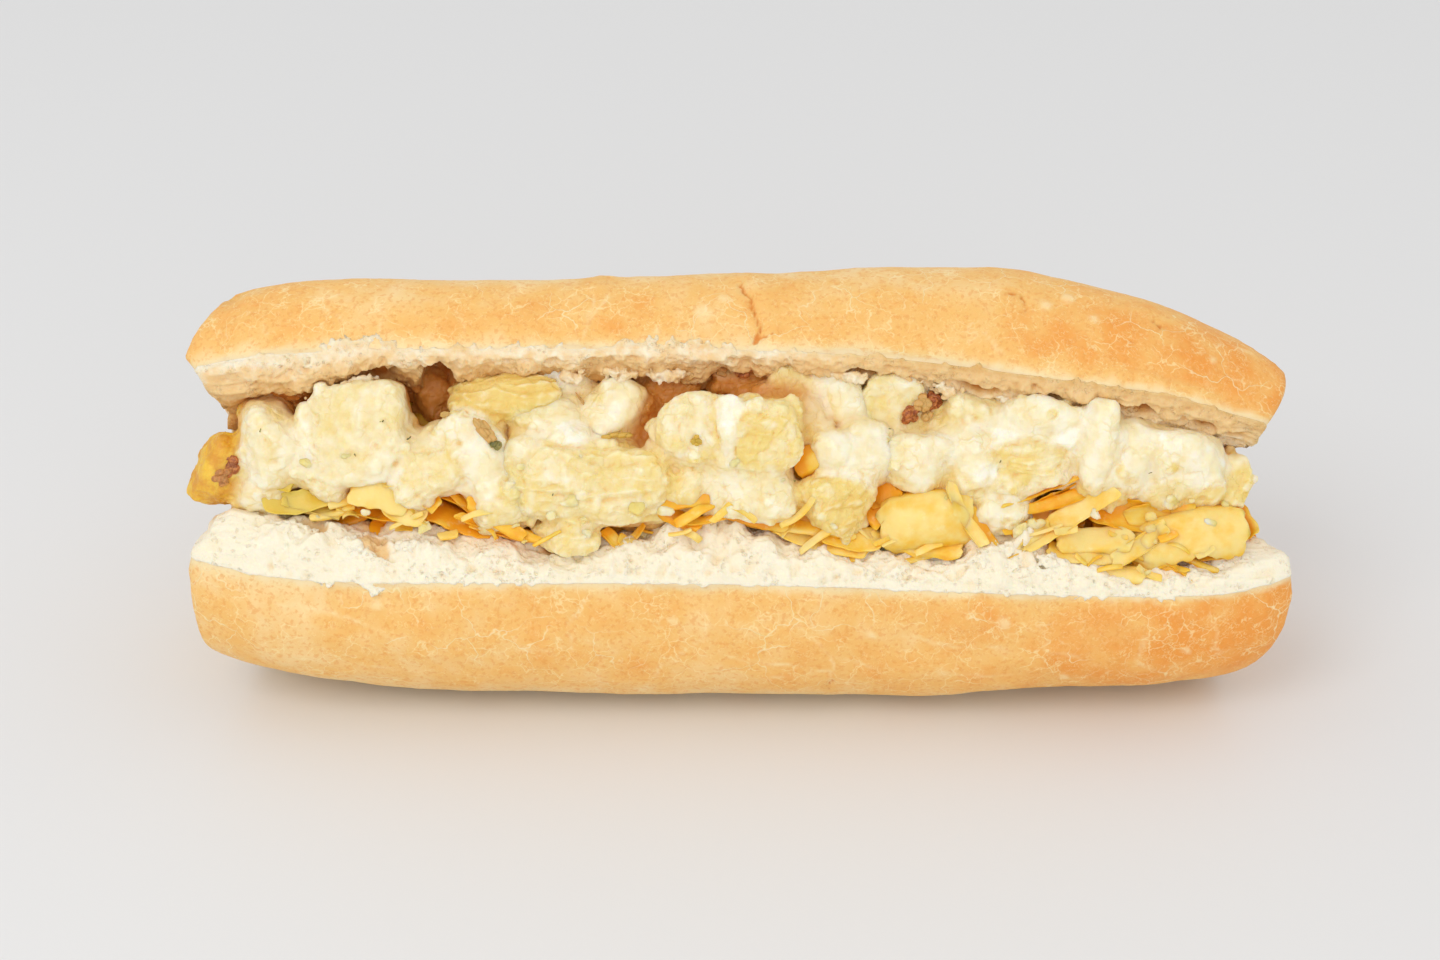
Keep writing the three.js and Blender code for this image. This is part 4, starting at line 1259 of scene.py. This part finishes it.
# The core shows only deep in the hollows between chunks, so it is painted golden and its deepest brown:
# painted shade.
mark(core, yellow=0.8, cream=0.0, golden=1.0, groove=0.5, crevice=0.0, tuck=9.0)
add_piece(core, dressed_egg, *EGG)

# %% [markdown]
# ## Tufts of crumb
# Where the bread was pulled apart, ragged tufts hang from the upper half and a few crumbs stand up on the
# lower one. A tuft is a cluster of small grains, melted into one skin at a finer size than the egg.

# %% Tufts of torn crumb
# x, distance in from the rim, how far it stands off the crumb, and half its length along the roll
UPPER_TUFTS = table("""-68.5 4.5 1.8 3.2   -75.5 6.5 3.4 2.8   -30 5 2.2 3   -21 4.5 2.4 3.6   -13 4.5 2.6 4
20 4 1.5 3.4   30 4.5 1.6 3.2   38 4.5 2 3   49 5 1.6 2.6   58 5.5 1.4 2.6   75.5 6.5 1.6 3""", 1, 1, 1, 1)
LOWER_TUFTS = table("""45 2.5 1.2 3.4   51 4 1.4 4   57 2.5 1.1 3.6   -80 4.5 1.2 4.5
-70 3 1 3   -58 3 1 4""", 1, 1, 1, 1)
GRAINS_PER_MM, TUFT_VOXEL = 19.0, 0.26


def lower_top(x):
    """The lower crumb's bulge with its mounds."""
    return lower_swell(x) + 0.85 * tallest(x, LOWER_MOUNDS)


def off_face(frame_at, swell, x, inward, out):
    """Places off a cut face: inward from its rim and out from the crumb, whose bulge is the swell times
    (1 - |across|^n)^(1/n), with across running from -1 at the rim."""
    at = frame_at(x)
    across = np.clip(inward / at["half_width"] - 1, -1, 1)
    off = swell(x) * (1 - np.abs(across) ** SQUARENESS) ** (1 / SQUARENESS) + out
    flat = at["front"] + at["along"] * inward[:, None] - at["crustward"] * off[:, None]
    return np.concatenate([x[:, None], flat], axis=-1)


def tufts_mesh(name, halves, seed):
    """Grains strewn about each row, fewer towards its ends and its tip, then melted together."""
    chance = np.random.default_rng(seed)
    shapes = []
    for frame_at, swell, rows in halves:
        for at, inward, stand, half in rows:
            count = int(GRAINS_PER_MM * half)
            along = np.clip(0.45 * chance.normal(size=count), -1, 1)
            height = chance.uniform(-0.2, 1.0, count) * (1 - along ** 2) * chance.uniform(0.5, 1.0, count)
            depth = inward + (1.3 - 0.8 * np.abs(height)) * chance.uniform(-1, 1, count)
            middles = off_face(frame_at, swell, at + along * half, np.maximum(depth, 0.4), height * stand)
            for number, middle in enumerate(middles):
                size = chance.uniform(0.5, 1.25) * chance.uniform(0.7, 1.3, 3)
                shapes.append((chunk(size, seed + number, TINY) + middle, TINY[1]))
    mesh = melted(name, shapes, TUFT_VOXEL, 1)
    points, normals = mesh_points(mesh)
    rough = 0.22 * noise(points, 1.1, seed + 1) + 0.10 * noise(points, 0.6, seed + 2)
    set_points(mesh, points + normals * rough[:, None] + shift)
    # Upper tufts get a light tan and the hollows of their grain a darker beige: painted shade.
    upper = np.where(points[:, 2] > rim_height(points[:, 0]) + 9.0, 0.22, 0.0)
    mark(mesh, pit=0.5 * smoothstep(0.0, -0.2, rough), soak=upper * (1 + noise(points, 3.0, seed)))
    return mesh


tufts = tufts_mesh("crumb_tufts", ((upper_frame, upper_swell, UPPER_TUFTS),
                                   (lower_frame, lower_top, LOWER_TUFTS)), 820)
add_piece(tufts, torn_crumb, *BREAD)

# %% [markdown]
# ## Cheese
# The cheese was cut from a block in thin shavings, some broad and some only shreds. They lie on the lower
# crumb and bend over each other. Each is a flat oval carried along a curve, with ragged edges. Its colour
# is painted stronger and more orange the farther it lies back behind other filling, as painted shade, and
# where light passes through an edge, as a painted glow.

# %% A shaving
SHAVING_GRID, SHRED_GRID = (40, 24), (14, 10)
THINNER, SLICE_TUCK = 0.8, 0.8


def shaving(length, width, thick, bend, curl, seed, grid_size):
    """(points, edge): u runs along it and a flat superellipse of width by thickness goes round it. Bend
    lifts the two ends as 4u^2 and curl lifts the two long sides as v^2, both in millimetres, and each
    long side rolls over by a random share of the width. Noise along u tears the sides."""
    rings, count = grid_size
    u, share = (part[:, None] for part in tube_stations(rings, -0.5, 0.5, 6))
    around = np.linspace(0, 2 * np.pi, count, endpoint=False)[None, :]
    side = signed_power(np.cos(around), 0.5)

    def spread(*parts):
        """Three parts spread over the grid and set side by side."""
        return np.stack(np.broadcast_arrays(*parts, side, u)[:3], axis=-1)

    line = spread(u * length, 2 * side, seed)
    torn = 1 + 0.26 * noise(line, 5.5, seed) + 0.16 * noise(line, 1.7, seed + 1)
    v = side * share * torn
    flat = signed_power(np.sin(around), 0.8) * THINNER * thick / 2
    flat = flat * (0.55 + 0.45 * share) * (1 - 0.5 * v ** 2)
    lift = bend * (4 * u ** 2 - 0.4) + curl * (v ** 2 - 0.3)
    across = spread(np.sign(u) * 9, side * width / 2, seed)
    x = u * length * (1 + 0.16 * noise(across, 2.2, seed + 2))
    y = v * width / 2 + 0.05 * length * np.sin(2.5 * u + seed)
    for direction, roll in zip((1, -1), np.random.default_rng(seed).uniform(-0.22, 0.34, 2) * width):
        rolled = smoothstep(0.25, 1.15, direction * v) ** 2
        lift, y = lift + roll * rolled, y - direction * 0.6 * np.abs(roll) * rolled
    place = spread(x, y, seed)
    waves = 0.75 * noise(place, 4.5, seed + 3) + 0.22 * noise(place * (0.5, 1.0, 1.0), 1.7, seed + 4)
    edge = np.concatenate([np.abs(v).ravel(), [1.0, 1.0]])
    return closed(spread(x, y, lift + flat + waves * min(1.0, width / 4))), edge


# %% Where the shavings are: (x, rise, out), (length, width, thickness), (turn, tip, bend, curl), depth
# Tip is 90 where a shaving faces out of the mouth and less where it lies back. Depth is its colour, from
# pale, 0, to orange, 1, and below 0 it is olive.
SHAVINGS = table("""
-80 0.345 -3.5 12 4.5 1.6 6 62 0.8 0.3 -0.9
-77.5 0.3 -3.5 11 3.2 1.4 -12 55 1 0.2 -0.6
-83 0.42 -3 4.5 3.2 1.4 -20 75 0.2 0.2 -1
-61 0.455 -0.4 6.5 5 1.3 14 82 0.5 0.4 0
-64.8 0.365 -0.4 10.5 6.2 1.5 -16 80 -1 -0.5 0
-60 0.31 -1.2 8 4.5 1.3 -24 70 0.8 0.3 0.1
-56.5 0.355 -1.5 5.5 4.6 1.3 -40 78 0.9 0.9 0.35
-55.5 0.43 -1.8 10 2.2 1.1 14 65 0.7 0.1 0.5
-69.5 0.41 -3.2 8 3 1.2 18 60 0.6 0.2 0.95
-51.5 0.36 -3 7 4 1.3 -30 65 0.6 0.2 0.9
-47.5 0.315 -2.3 15 1.7 1.1 -34 60 1.4 0 0.55
-48.5 0.285 -2.8 13 1.5 1 -38 60 -0.9 0 0.75
-44 0.24 -2.5 14 2 1.1 -16 55 1 0 0.45
-40.5 0.195 -2.6 17 2.6 1.2 -7 50 0.8 0.1 0.4
-72 0.345 -2.6 4.5 2.8 1.1 10 75 0.3 0.2 0.2
-73.5 0.295 -3 8 1.8 1 18 60 0.5 0 0.35
-60.5 0.245 -2.6 3.2 4.5 1 0 70 0.2 0.2 0.6
-52.5 0.2 -2.2 3.5 2.2 0.9 8 60 0.1 0.1 0.4
-67 0.3 -4 12 5 1.4 -6 50 0.8 0.3 0.55
-50.5 0.26 -4.5 13 5.5 1.4 -22 50 0.9 0.3 0.8
-21.5 0.155 -2.4 8 3 1.3 -32 60 0.6 0.3 0.85
-19 0.135 -2.8 7 2.4 1.2 -38 60 0.4 0.2 0.95
-24.5 0.12 -3.4 9 3 1.2 -8 50 0.5 0.2 0.6
-9.5 0.34 0.6 9 3.4 1.3 16 68 0.7 0.3 1
-8 0.3 1 8.5 2.4 1.2 24 60 -0.6 0.2 0.8
-6 0.27 0.4 7.5 2 1.1 12 55 0.5 0.1 0.95
-10.5 0.27 -0.8 8 4 1.3 -30 55 0.5 0.2 1
-43.5 0.27 0.4 12 2.8 1.2 -30 64 0.6 0.2 1
-40.5 0.22 0.2 10 2 1.1 -22 58 0.5 0.1 0.8
7.5 0.285 -2.4 27 3.8 1.5 -15 64 0.8 0.2 0.35
9 0.315 -3.2 19 3 1.3 -11 58 0.9 0.1 0.6
4 0.25 -3.4 20 2.6 1.2 -17 50 0.5 0.1 0.5
14.5 0.19 -3 18 3.2 1.4 -13 50 0.7 0.2 0.45
12.6 0.535 0.2 5.5 6 1.8 30 82 -0.8 -0.6 0.55
20.5 0.215 -2.4 11 6 1.6 -14 62 0.8 0.4 0.4
17.5 0.14 -3 8 3.5 1.3 -8 50 0.4 0.2 0.35
26 0.36 -3.6 8 7 1.6 50 72 0.6 0.4 0.9
28.5 0.44 -4.4 11 4 1.4 34 65 0.7 0.2 0.95
34 0.305 -0.8 17 13.5 2.2 6 84 -2.8 -2.4 0.3
41 0.34 -0.8 13 3.4 1.8 -62 78 1.5 0.5 0.22
43.8 0.28 -2 9 3 1.4 -50 70 0.8 0.3 0.75
36.5 0.42 -3.2 13 5 1.5 -28 70 0.8 0.3 0.7
32 0.2 -3 16 4 1.5 -6 52 0.8 0.2 0.5
55 0.475 -2.8 17 3 1.4 19 55 1 0.2 0.6
57.5 0.445 -3.6 13 3 1.3 16 75 0.6 0.2 1
49 0.4 -4.2 9 3 1.3 32 60 0.5 0.2 0.6
57 0.39 -4.8 16 7 1.6 16 72 0.6 0.4 0.95
10.6 0.5 -3.4 7 7 1.5 20 78 0.4 0.3 0.9
59.8 0.35 -1.5 21 5.2 1.6 29 66 2.2 0.4 0.35
52 0.24 -2.6 10 3.6 1.4 36 60 0.6 0.2 0.4
64.5 0.245 -2.2 14 6 1.4 4 64 0.7 0.4 0.15
62 0.19 -2.6 12 4 1.3 -10 55 0.6 0.2 0.25
71 0.385 -4.4 15 7 1.6 -4 72 1 0.8 0.85
69.5 0.33 -5.2 10 5 1.5 10 60 0.5 0.3 1
76.5 0.43 -4.2 13 4 1.4 14 62 0.8 0.2 0.7
81.5 0.3 -1.4 21 11.5 2.2 13 80 -2.2 -2 0.3
72.5 0.245 -1.6 12 4.5 1.5 30 66 0.9 0.3 0.3
66.5 0.105 -2 13.5 4.6 1.8 -3 60 0.4 0.1 0.3
76 0.155 -1.8 11 1.7 1.1 -24 60 0.9 0 0.75
79.5 0.135 -2 10 1.5 1 -30 60 -0.7 0 0.85
83 0.155 -2.2 9 1.6 1 -22 60 0.6 0 0.7
78 0.095 -2.4 12 1.6 1.1 -10 55 0.7 0 0.5
85.5 0.2 -3.2 9 3 1.2 10 60 0.5 0.2 0.5
73.5 0.1 -2.4 9 1.6 1.1 16 60 0.5 0 0.6
90 0.36 -6 9 8 1.8 34 76 0.6 0.4 0.35""", 3, 3, 4, 1)
HIDDEN_SHAVINGS = 26


def hidden_shavings():
    """More shavings behind those, at even steps along the bed with random heights and turns."""
    chance = np.random.default_rng(505)
    x = np.linspace(-72, 88, HIDDEN_SHAVINGS) + chance.uniform(-2, 2, HIDDEN_SHAVINGS)
    rows = []
    for place in x:
        spot, size = draws(chance, (0.16, 0.34), (-9, -6)), draws(chance, (10, 18), (3, 7), (1.2, 1.8))
        pose = draws(chance, (-30, 30), (35, 70), (0.3, 1.4))
        rows.append(((place, *spot), size, (*pose, 0.3), chance.uniform(0.4, 1.0)))
    return rows


# %% All the shavings as one piece
def shavings_mesh(name, rows, seed, grid_size, *others):
    """The rows' shavings in their places, marked for the material, and where they lie in the mouth."""
    shapes, marks = [], []
    for number, (place, size, (turn, tip, bend, curl), depth) in enumerate(rows):
        points, edge = shaving(*size, bend, curl, seed + 10 * number, grid_size)
        points = points @ turned(turn, tip - 90, place[0]).T + mouth_point(*place)
        shapes.append((points, skin_faces(*grid_size)))
        marks.append(np.stack([edge, np.full(len(edge), depth)]))
    points, *faces = joined(shapes)
    mesh = new_mesh(name, points + shift, *faces)
    edge, depth = np.concatenate(marks, axis=1)
    places = mouth_place(points)
    # How far back each place lies, for the orange painted shade where shavings lie behind other filling.
    tuck = relaxed(tucked(places, SLICE_TUCK, *others)[:, None], mesh_edges(mesh), SLICE_ROUNDS)[:, 0]
    mark(mesh, edge=edge, orange=np.maximum(depth, 0), olive=np.maximum(-depth, 0), tuck=tuck)
    return mesh, places


def cheese_finish():
    make = Finish("yellow_cheese")
    edge, orange, olive, tuck = make.own("edge", "orange", "olive", "tuck")
    mottle = make.grain(2.6, 3.0)
    # Stronger the farther back a place lies: painted shade. Stronger at the edges: a painted glow of light
    # through them.
    strength = orange * 0.95 + edge.step(0.70, 1.0) * 0.25 + (mottle - 0.5) * 1.2 + tuck.step(1.0, 4.0) * 0.9
    strength = strength + (make.grain(6.0, 2.0) - 0.5) * 1.4
    cheese = coats(
        strength.step(0.0, 0.8).mix((255, 221, 136), (254, 198, 66)),
        # Deep orange far back among the shavings: painted shade.
        (strength.step(0.6, 1.25), (252, 168, 24)), (tuck.step(1.8, 6.0), (240, 146, 20)),
        (make.grain(1.4, 3.0).step(0.58, 0.75) * 0.3, (254, 236, 178)),
        (olive * (mottle * 0.4 + 0.75), (226, 192, 74)))
    height = make.grain(0.9, 3.0) * 0.6 + make.grain(4.0) * 0.5
    return make.finish(cheese, 0.38, height, 0.14, (0.35, (1.0, 0.6, 0.12), 0.0025), 0.4)


yellow_cheese = cheese_finish()
slices, slice_places = shavings_mesh("cheese_slices", SHAVINGS + hidden_shavings(), 300, SHAVING_GRID, heap)
add_piece(slices, yellow_cheese, *CHEESE)
filling = np.concatenate([heap, slice_places])


# %% Fine shreds on them
SHRED_COUNT, SHRED_SPREAD = 36, 7.0
SHRED_PLACES = np.array([-64.0, -48.0, -12.0, 12.0, 30.0, 58.0, 76.0])


def front_of(places, x, rise, reach=1.0):
    """How far out the foremost of some places stands near a spot in the mouth."""
    height = rise * float(mouth_frame(np.array(x))[1])
    close = np.hypot(places[:, 0] - x, places[:, 1] - height) < reach
    return float(places[close, 2].max()) if close.any() else -8.0


def shred_rows():
    """Thin short shavings at random spots about the places named above, lying on what is there."""
    chance = np.random.default_rng(611)
    rows = []
    for number in range(SHRED_COUNT):
        x = float(chance.choice(SHRED_PLACES) + chance.normal() * SHRED_SPREAD)
        x, rise = float(np.clip(x, -82, 90)), chance.uniform(0.10, 0.31)
        size = draws(chance, (2.5, 8.0), (0.6, 1.8), (0.5, 0.8))
        pose = (*draws(chance, (-50, 50), (40, 80), (-1.2, 1.4)), 0.1)
        rows.append(((x, rise, front_of(filling, x, rise) - 0.2), size, pose, chance.uniform(0.1, 0.9)))
    return rows


shreds, _ = shavings_mesh("cheese_shreds", shred_rows(), 5000, SHRED_GRID, filling)
add_piece(shreds, yellow_cheese, *CHEESE)


# %% The bed of cheese under them
def cheese_lumps(points):
    strands = noise(points * (0.3, 1.0, 1.0), 2.4, 91)
    return 0.8 * (1 - 2 * np.abs(strands)) + 0.7 * layered_noise(points, 6.0, 92, 2)


bed = filling_bar("cheese_bed", -76.0, 92.0, 0.22, -22.0, 9.0, 30.0, cheese_lumps)
# The bed shows only in the gaps between shavings, so it is painted deep orange: painted shade.
mark(bed, edge=0.5, orange=0.6, olive=0.0, tuck=4.0)
add_piece(bed, yellow_cheese, *CHEESE)

# %% [markdown]
# ## Loose egg crumbs
# Cutting and tossing breaks small crumbs off the egg. They stick to the dressing and to the cheese, mostly
# along the line where the two meet, so each one is set on whatever is foremost at its spot.

# %% Crumbs of egg along the cheese
EGG_CRUMBS, CRUMB_VOXEL = 34, 0.3


def cluster(size, seed, count, share):
    """Small cut pebbles strewn through an oval of a size, each about a share of it: a rough lump."""
    chance = np.random.default_rng(seed)
    middles = chance.normal(size=(count, 3))
    middles *= chance.uniform(0.2, 1.0, (count, 1)) / np.linalg.norm(middles, axis=1, keepdims=True)
    sizes = np.array(size) * share * chance.uniform(0.7, 1.3, (count, 3))
    return [chunk(grain, seed + number, TINY) + middle * np.array(size) / 2 * (1 - share / 2)
            for number, (grain, middle) in enumerate(zip(sizes, middles))]


def egg_crumbs_mesh():
    """The crumbs at random spots, most of them where the egg ends, melted and given a grain."""
    chance = np.random.default_rng(377)
    shapes = []
    for number in range(EGG_CRUMBS):
        x, rise = chance.uniform(-82, 90), chance.normal(0.36, 0.10)
        size = chance.uniform(1.1, 3.2) * np.array([1.3, 0.9, 0.6]) * chance.uniform(0.8, 1.2, 3)
        place = mouth_point(x, rise, front_of(filling, x, rise) - 0.45)
        turn = turned(chance.uniform(-40, 40), 0, x).T
        shapes += [(grain @ turn + place, TINY[1]) for grain in cluster(size, 900 + 20 * number, 5, 0.6)]
    mesh = melted("egg_crumbs", shapes, CRUMB_VOXEL, 2)
    points, normals = mesh_points(mesh)
    set_points(mesh, points + 0.12 * normals * noise(points, 0.9, 378)[:, None] + shift)
    cream = smoothstep(0.0, 0.6, noise(points, 4.0, 380))
    mark(mesh, yellow=0.7 + 0.8 * noise(points, 5.0, 379), cream=cream, golden=0.0, groove=0.0, crevice=0.0,
         tuck=0.0)
    return mesh


add_piece(egg_crumbs_mesh(), dressed_egg, *EGG)

# %% [markdown]
# ## Small bits
# A few grainy red-brown bits, browned slivers and flecks of herb lie on the egg. Each is looked up on the
# finished skin, so it sits on the egg whatever its relief does there.

# %% Bits on the egg's surface
# (x, rise), (length, width, thickness), turn, how far it stands out of the egg, and its tone, from
# red-brown, 0, through tan to dark yellow, 1
BROWN_BITS = table("""
31.2 0.775 4.6 4.2 3 30 -0.4 0.1   35.4 0.835 5.2 4.2 3 -20 -0.4 0   33.2 0.83 3.6 3.4 2.6 0 0 0.55
34.2 0.775 2.6 2.4 2 40 0.2 0.6   -91.8 0.5 4 5.4 2.6 -30 -0.5 0.15
-93.6 0.455 4.2 3.4 2.4 20 -0.6 0.3   -28.5 0.79 4.4 0.6 0.6 -52 0 0.45
-21.5 0.635 6.5 1.8 1.4 4 -0.1 0.85   -45.6 0.665 6 2.4 1.6 -48 -0.1 0.6
-7.6 0.615 2.2 1.8 1.2 0 -0.2 1   1 0.93 5 3 2.5 10 0 0.2   -3.5 0.92 4 2.6 2.2 -20 -0.2 0.4
5 0.945 4 2.4 2.2 24 0 0.1   -52.5 0.73 2.6 1.2 1 20 0 0.7""", 2, 3, 1, 1, 1)
HERB_BITS = table("""
-43.6 0.6 3.6 3.2 2 30 0 0   -58.9 0.625 1.5 0.6 0.5 55 0.2 0   -85.6 0.675 0.9 0.5 0.4 80 0.2 0
-63.6 0.7 0.8 0.5 0.4 20 0.2 0   -68.5 0.555 1 0.5 0.4 -40 0.2 0   27 0.7 0.8 0.5 0.4 10 0.2 0
47 0.6 0.9 0.4 0.4 70 0.2 0   74 0.62 0.8 0.4 0.4 30 0.2 0   10 0.45 0.9 0.5 0.4 -20 0.2 0
-33 0.38 0.8 0.4 0.4 60 0.2 0""", 2, 3, 1, 1, 1)


def bits_mesh(name, rows, seed, rough):
    """Rough lumps on the egg's surface, each of the given number of grains."""
    shapes, tones = [], []
    for number, ((x, rise), size, turn, stand, tone) in enumerate(rows):
        place = mouth_point(x, rise, front_of(heap, x, rise) + stand)
        for points in cluster(size, seed + 20 * number, rough, 0.45):
            shapes.append((points @ turned(turn, 0, x).T + place, TINY[1]))
            tones.append(np.full(len(points), tone))
    points, *faces = joined(shapes)
    mesh = new_mesh(name, points + shift, *faces)
    mark(mesh, tone=np.concatenate(tones))
    return mesh


def bits_finish(name, dark, light, tan, size):
    make = Finish(name)
    tone, = make.own("tone")
    colour = coats(make.grain(size, 4.0, 0.7).step(0.38, 0.62).mix(dark, light),
                   (tone.step(0.1, 0.6), tan), (tone.step(0.6, 1.0), (214, 172, 62)))
    return make.finish(colour, 0.5, make.grain(0.6, 3.0), 0.2, (0.2, (1.0, 0.4, 0.2), 0.001))


browned = bits_finish("browned_crumbs", (146, 68, 24), (208, 130, 68), (216, 168, 96), 0.7)
herb = bits_finish("green_herb", (98, 96, 44), (156, 142, 74), (120, 116, 60), 1.2)
add_piece(bits_mesh("browned_bits", BROWN_BITS, 700, 14), browned, *EGG)
add_piece(bits_mesh("herb_bits", HERB_BITS, 740, 3), herb, *EGG)

# %% [markdown]
# ## The hinge
# At the back the two halves were never cut apart. Crumb fills the fold between them, and shows at the two
# ends and behind the filling. Outside it the crust goes round the fold from one half to the other.

# %% Crumb in the fold
HINGE_RINGS, HINGE_AROUND = 260, 64


def hinge_mesh(name, radius, offset, shorter, lumps):
    """A rod along the hinge line, off it and shorter than the roll by some millimetres, with lumps."""
    reach = (ROLL_LENGTH - shorter) / 2
    x, share = tube_stations(HINGE_RINGS, -reach, reach, 8)
    angles = np.linspace(0, 2 * np.pi, HINGE_AROUND, endpoint=False)
    ring = np.stack([np.cos(angles), np.sin(angles)], axis=-1)
    flat = (hinge_line(x) + offset)[:, None, :] + ring[None] * (radius * share)[:, None, None]
    grid = np.concatenate([np.broadcast_to(x[:, None, None], (*flat.shape[:2], 1)), flat], axis=-1)
    return tube_mesh(name, grid + grid_normals(grid) * (lumps * layered_noise(grid, 6.0, 95, 3))[..., None])


hinge = hinge_mesh("hinge_crumb", 7.0, (-4.0, 1.0), 18.0, 0.7)
# Deep tan to brown: painted shade, as this crumb shows only deep behind the filling.
mark(hinge, pit=0.0, soak=0.85)
add_piece(hinge, torn_crumb, *BREAD)
fold = hinge_mesh("hinge_crust", 5.2, (-1.2, 1.4), 14.0, 0.3)
mark(fold, crack=0.0, pale=0.0, bake=0.42, rim=0.0)
add_piece(fold, golden_crust, *BREAD)

# %% [markdown]
# ## Camera, floor and light
# The photograph looks down at 30 degrees from straight in front, through a lens of about 65 mm. Soft
# light from all round and one large lamp give the food its gentle shading.

# %% Camera
CAMERA_TARGET = np.array([-3.4, 0.0, 38.4])
CAMERA_DISTANCE, CAMERA_ELEVATION = 490.0, 30.0
camera_data = bpy.data.cameras.new("camera")
camera_data.lens, camera_data.sensor_width = 65.0, 36.0
camera_data.clip_start, camera_data.clip_end = 0.01, 20.0
camera = show("camera", camera_data)
tilt = np.radians(CAMERA_ELEVATION)
back = np.array([0.0, -np.cos(tilt), np.sin(tilt)])
camera.location = (CAMERA_TARGET + shift + back * CAMERA_DISTANCE) * MM
camera.rotation_euler = (np.pi / 2 - tilt, 0.0, 0.0)
bpy.context.scene.camera = camera
print("camera at", np.round(camera.location, 3))

# %% Floor
floor_mesh = bpy.data.meshes.new("floor")
FLOOR = 3.0
floor_mesh.from_pydata([(-FLOOR, -FLOOR, 0), (FLOOR, -FLOOR, 0), (FLOOR, FLOOR, 0), (-FLOOR, FLOOR, 0)],
                       [], [(0, 1, 2, 3)])
floor = show("floor", floor_mesh)
pale_floor = Finish("pale_floor")
floor_mesh.materials.append(pale_floor.finish((0.80, 0.80, 0.80, 1.0), 0.9))

# %% Light
world = bpy.data.worlds.new("soft_room")
bpy.context.scene.world = world
world.use_nodes = True
world.node_tree.nodes["Background"].inputs["Color"].default_value = (1.0, 1.0, 1.0, 1.0)
world.node_tree.nodes["Background"].inputs["Strength"].default_value = 0.80


def softbox(name, place, size, watts, colour=(1.0, 1.0, 1.0)):
    """A square area lamp of the given size in metres that faces the food."""
    data = bpy.data.lights.new(name, "AREA")
    data.shape, data.size, data.energy, data.color = "SQUARE", size, watts, colour
    lamp = show(name, data)
    away = np.array(place) - np.array([0.0, 0.0, 0.03])
    lamp.location = place
    lamp.rotation_euler = (np.arccos(away[2] / np.linalg.norm(away)), 0.0, np.arctan2(away[0], -away[1]))


softbox("window", (-0.40, -0.60, 0.80), 0.5, 2.4)
softbox("front_fill", (0.25, -1.0, 0.35), 0.6, 1.3)
bpy.context.scene.view_settings.view_transform = "Standard"
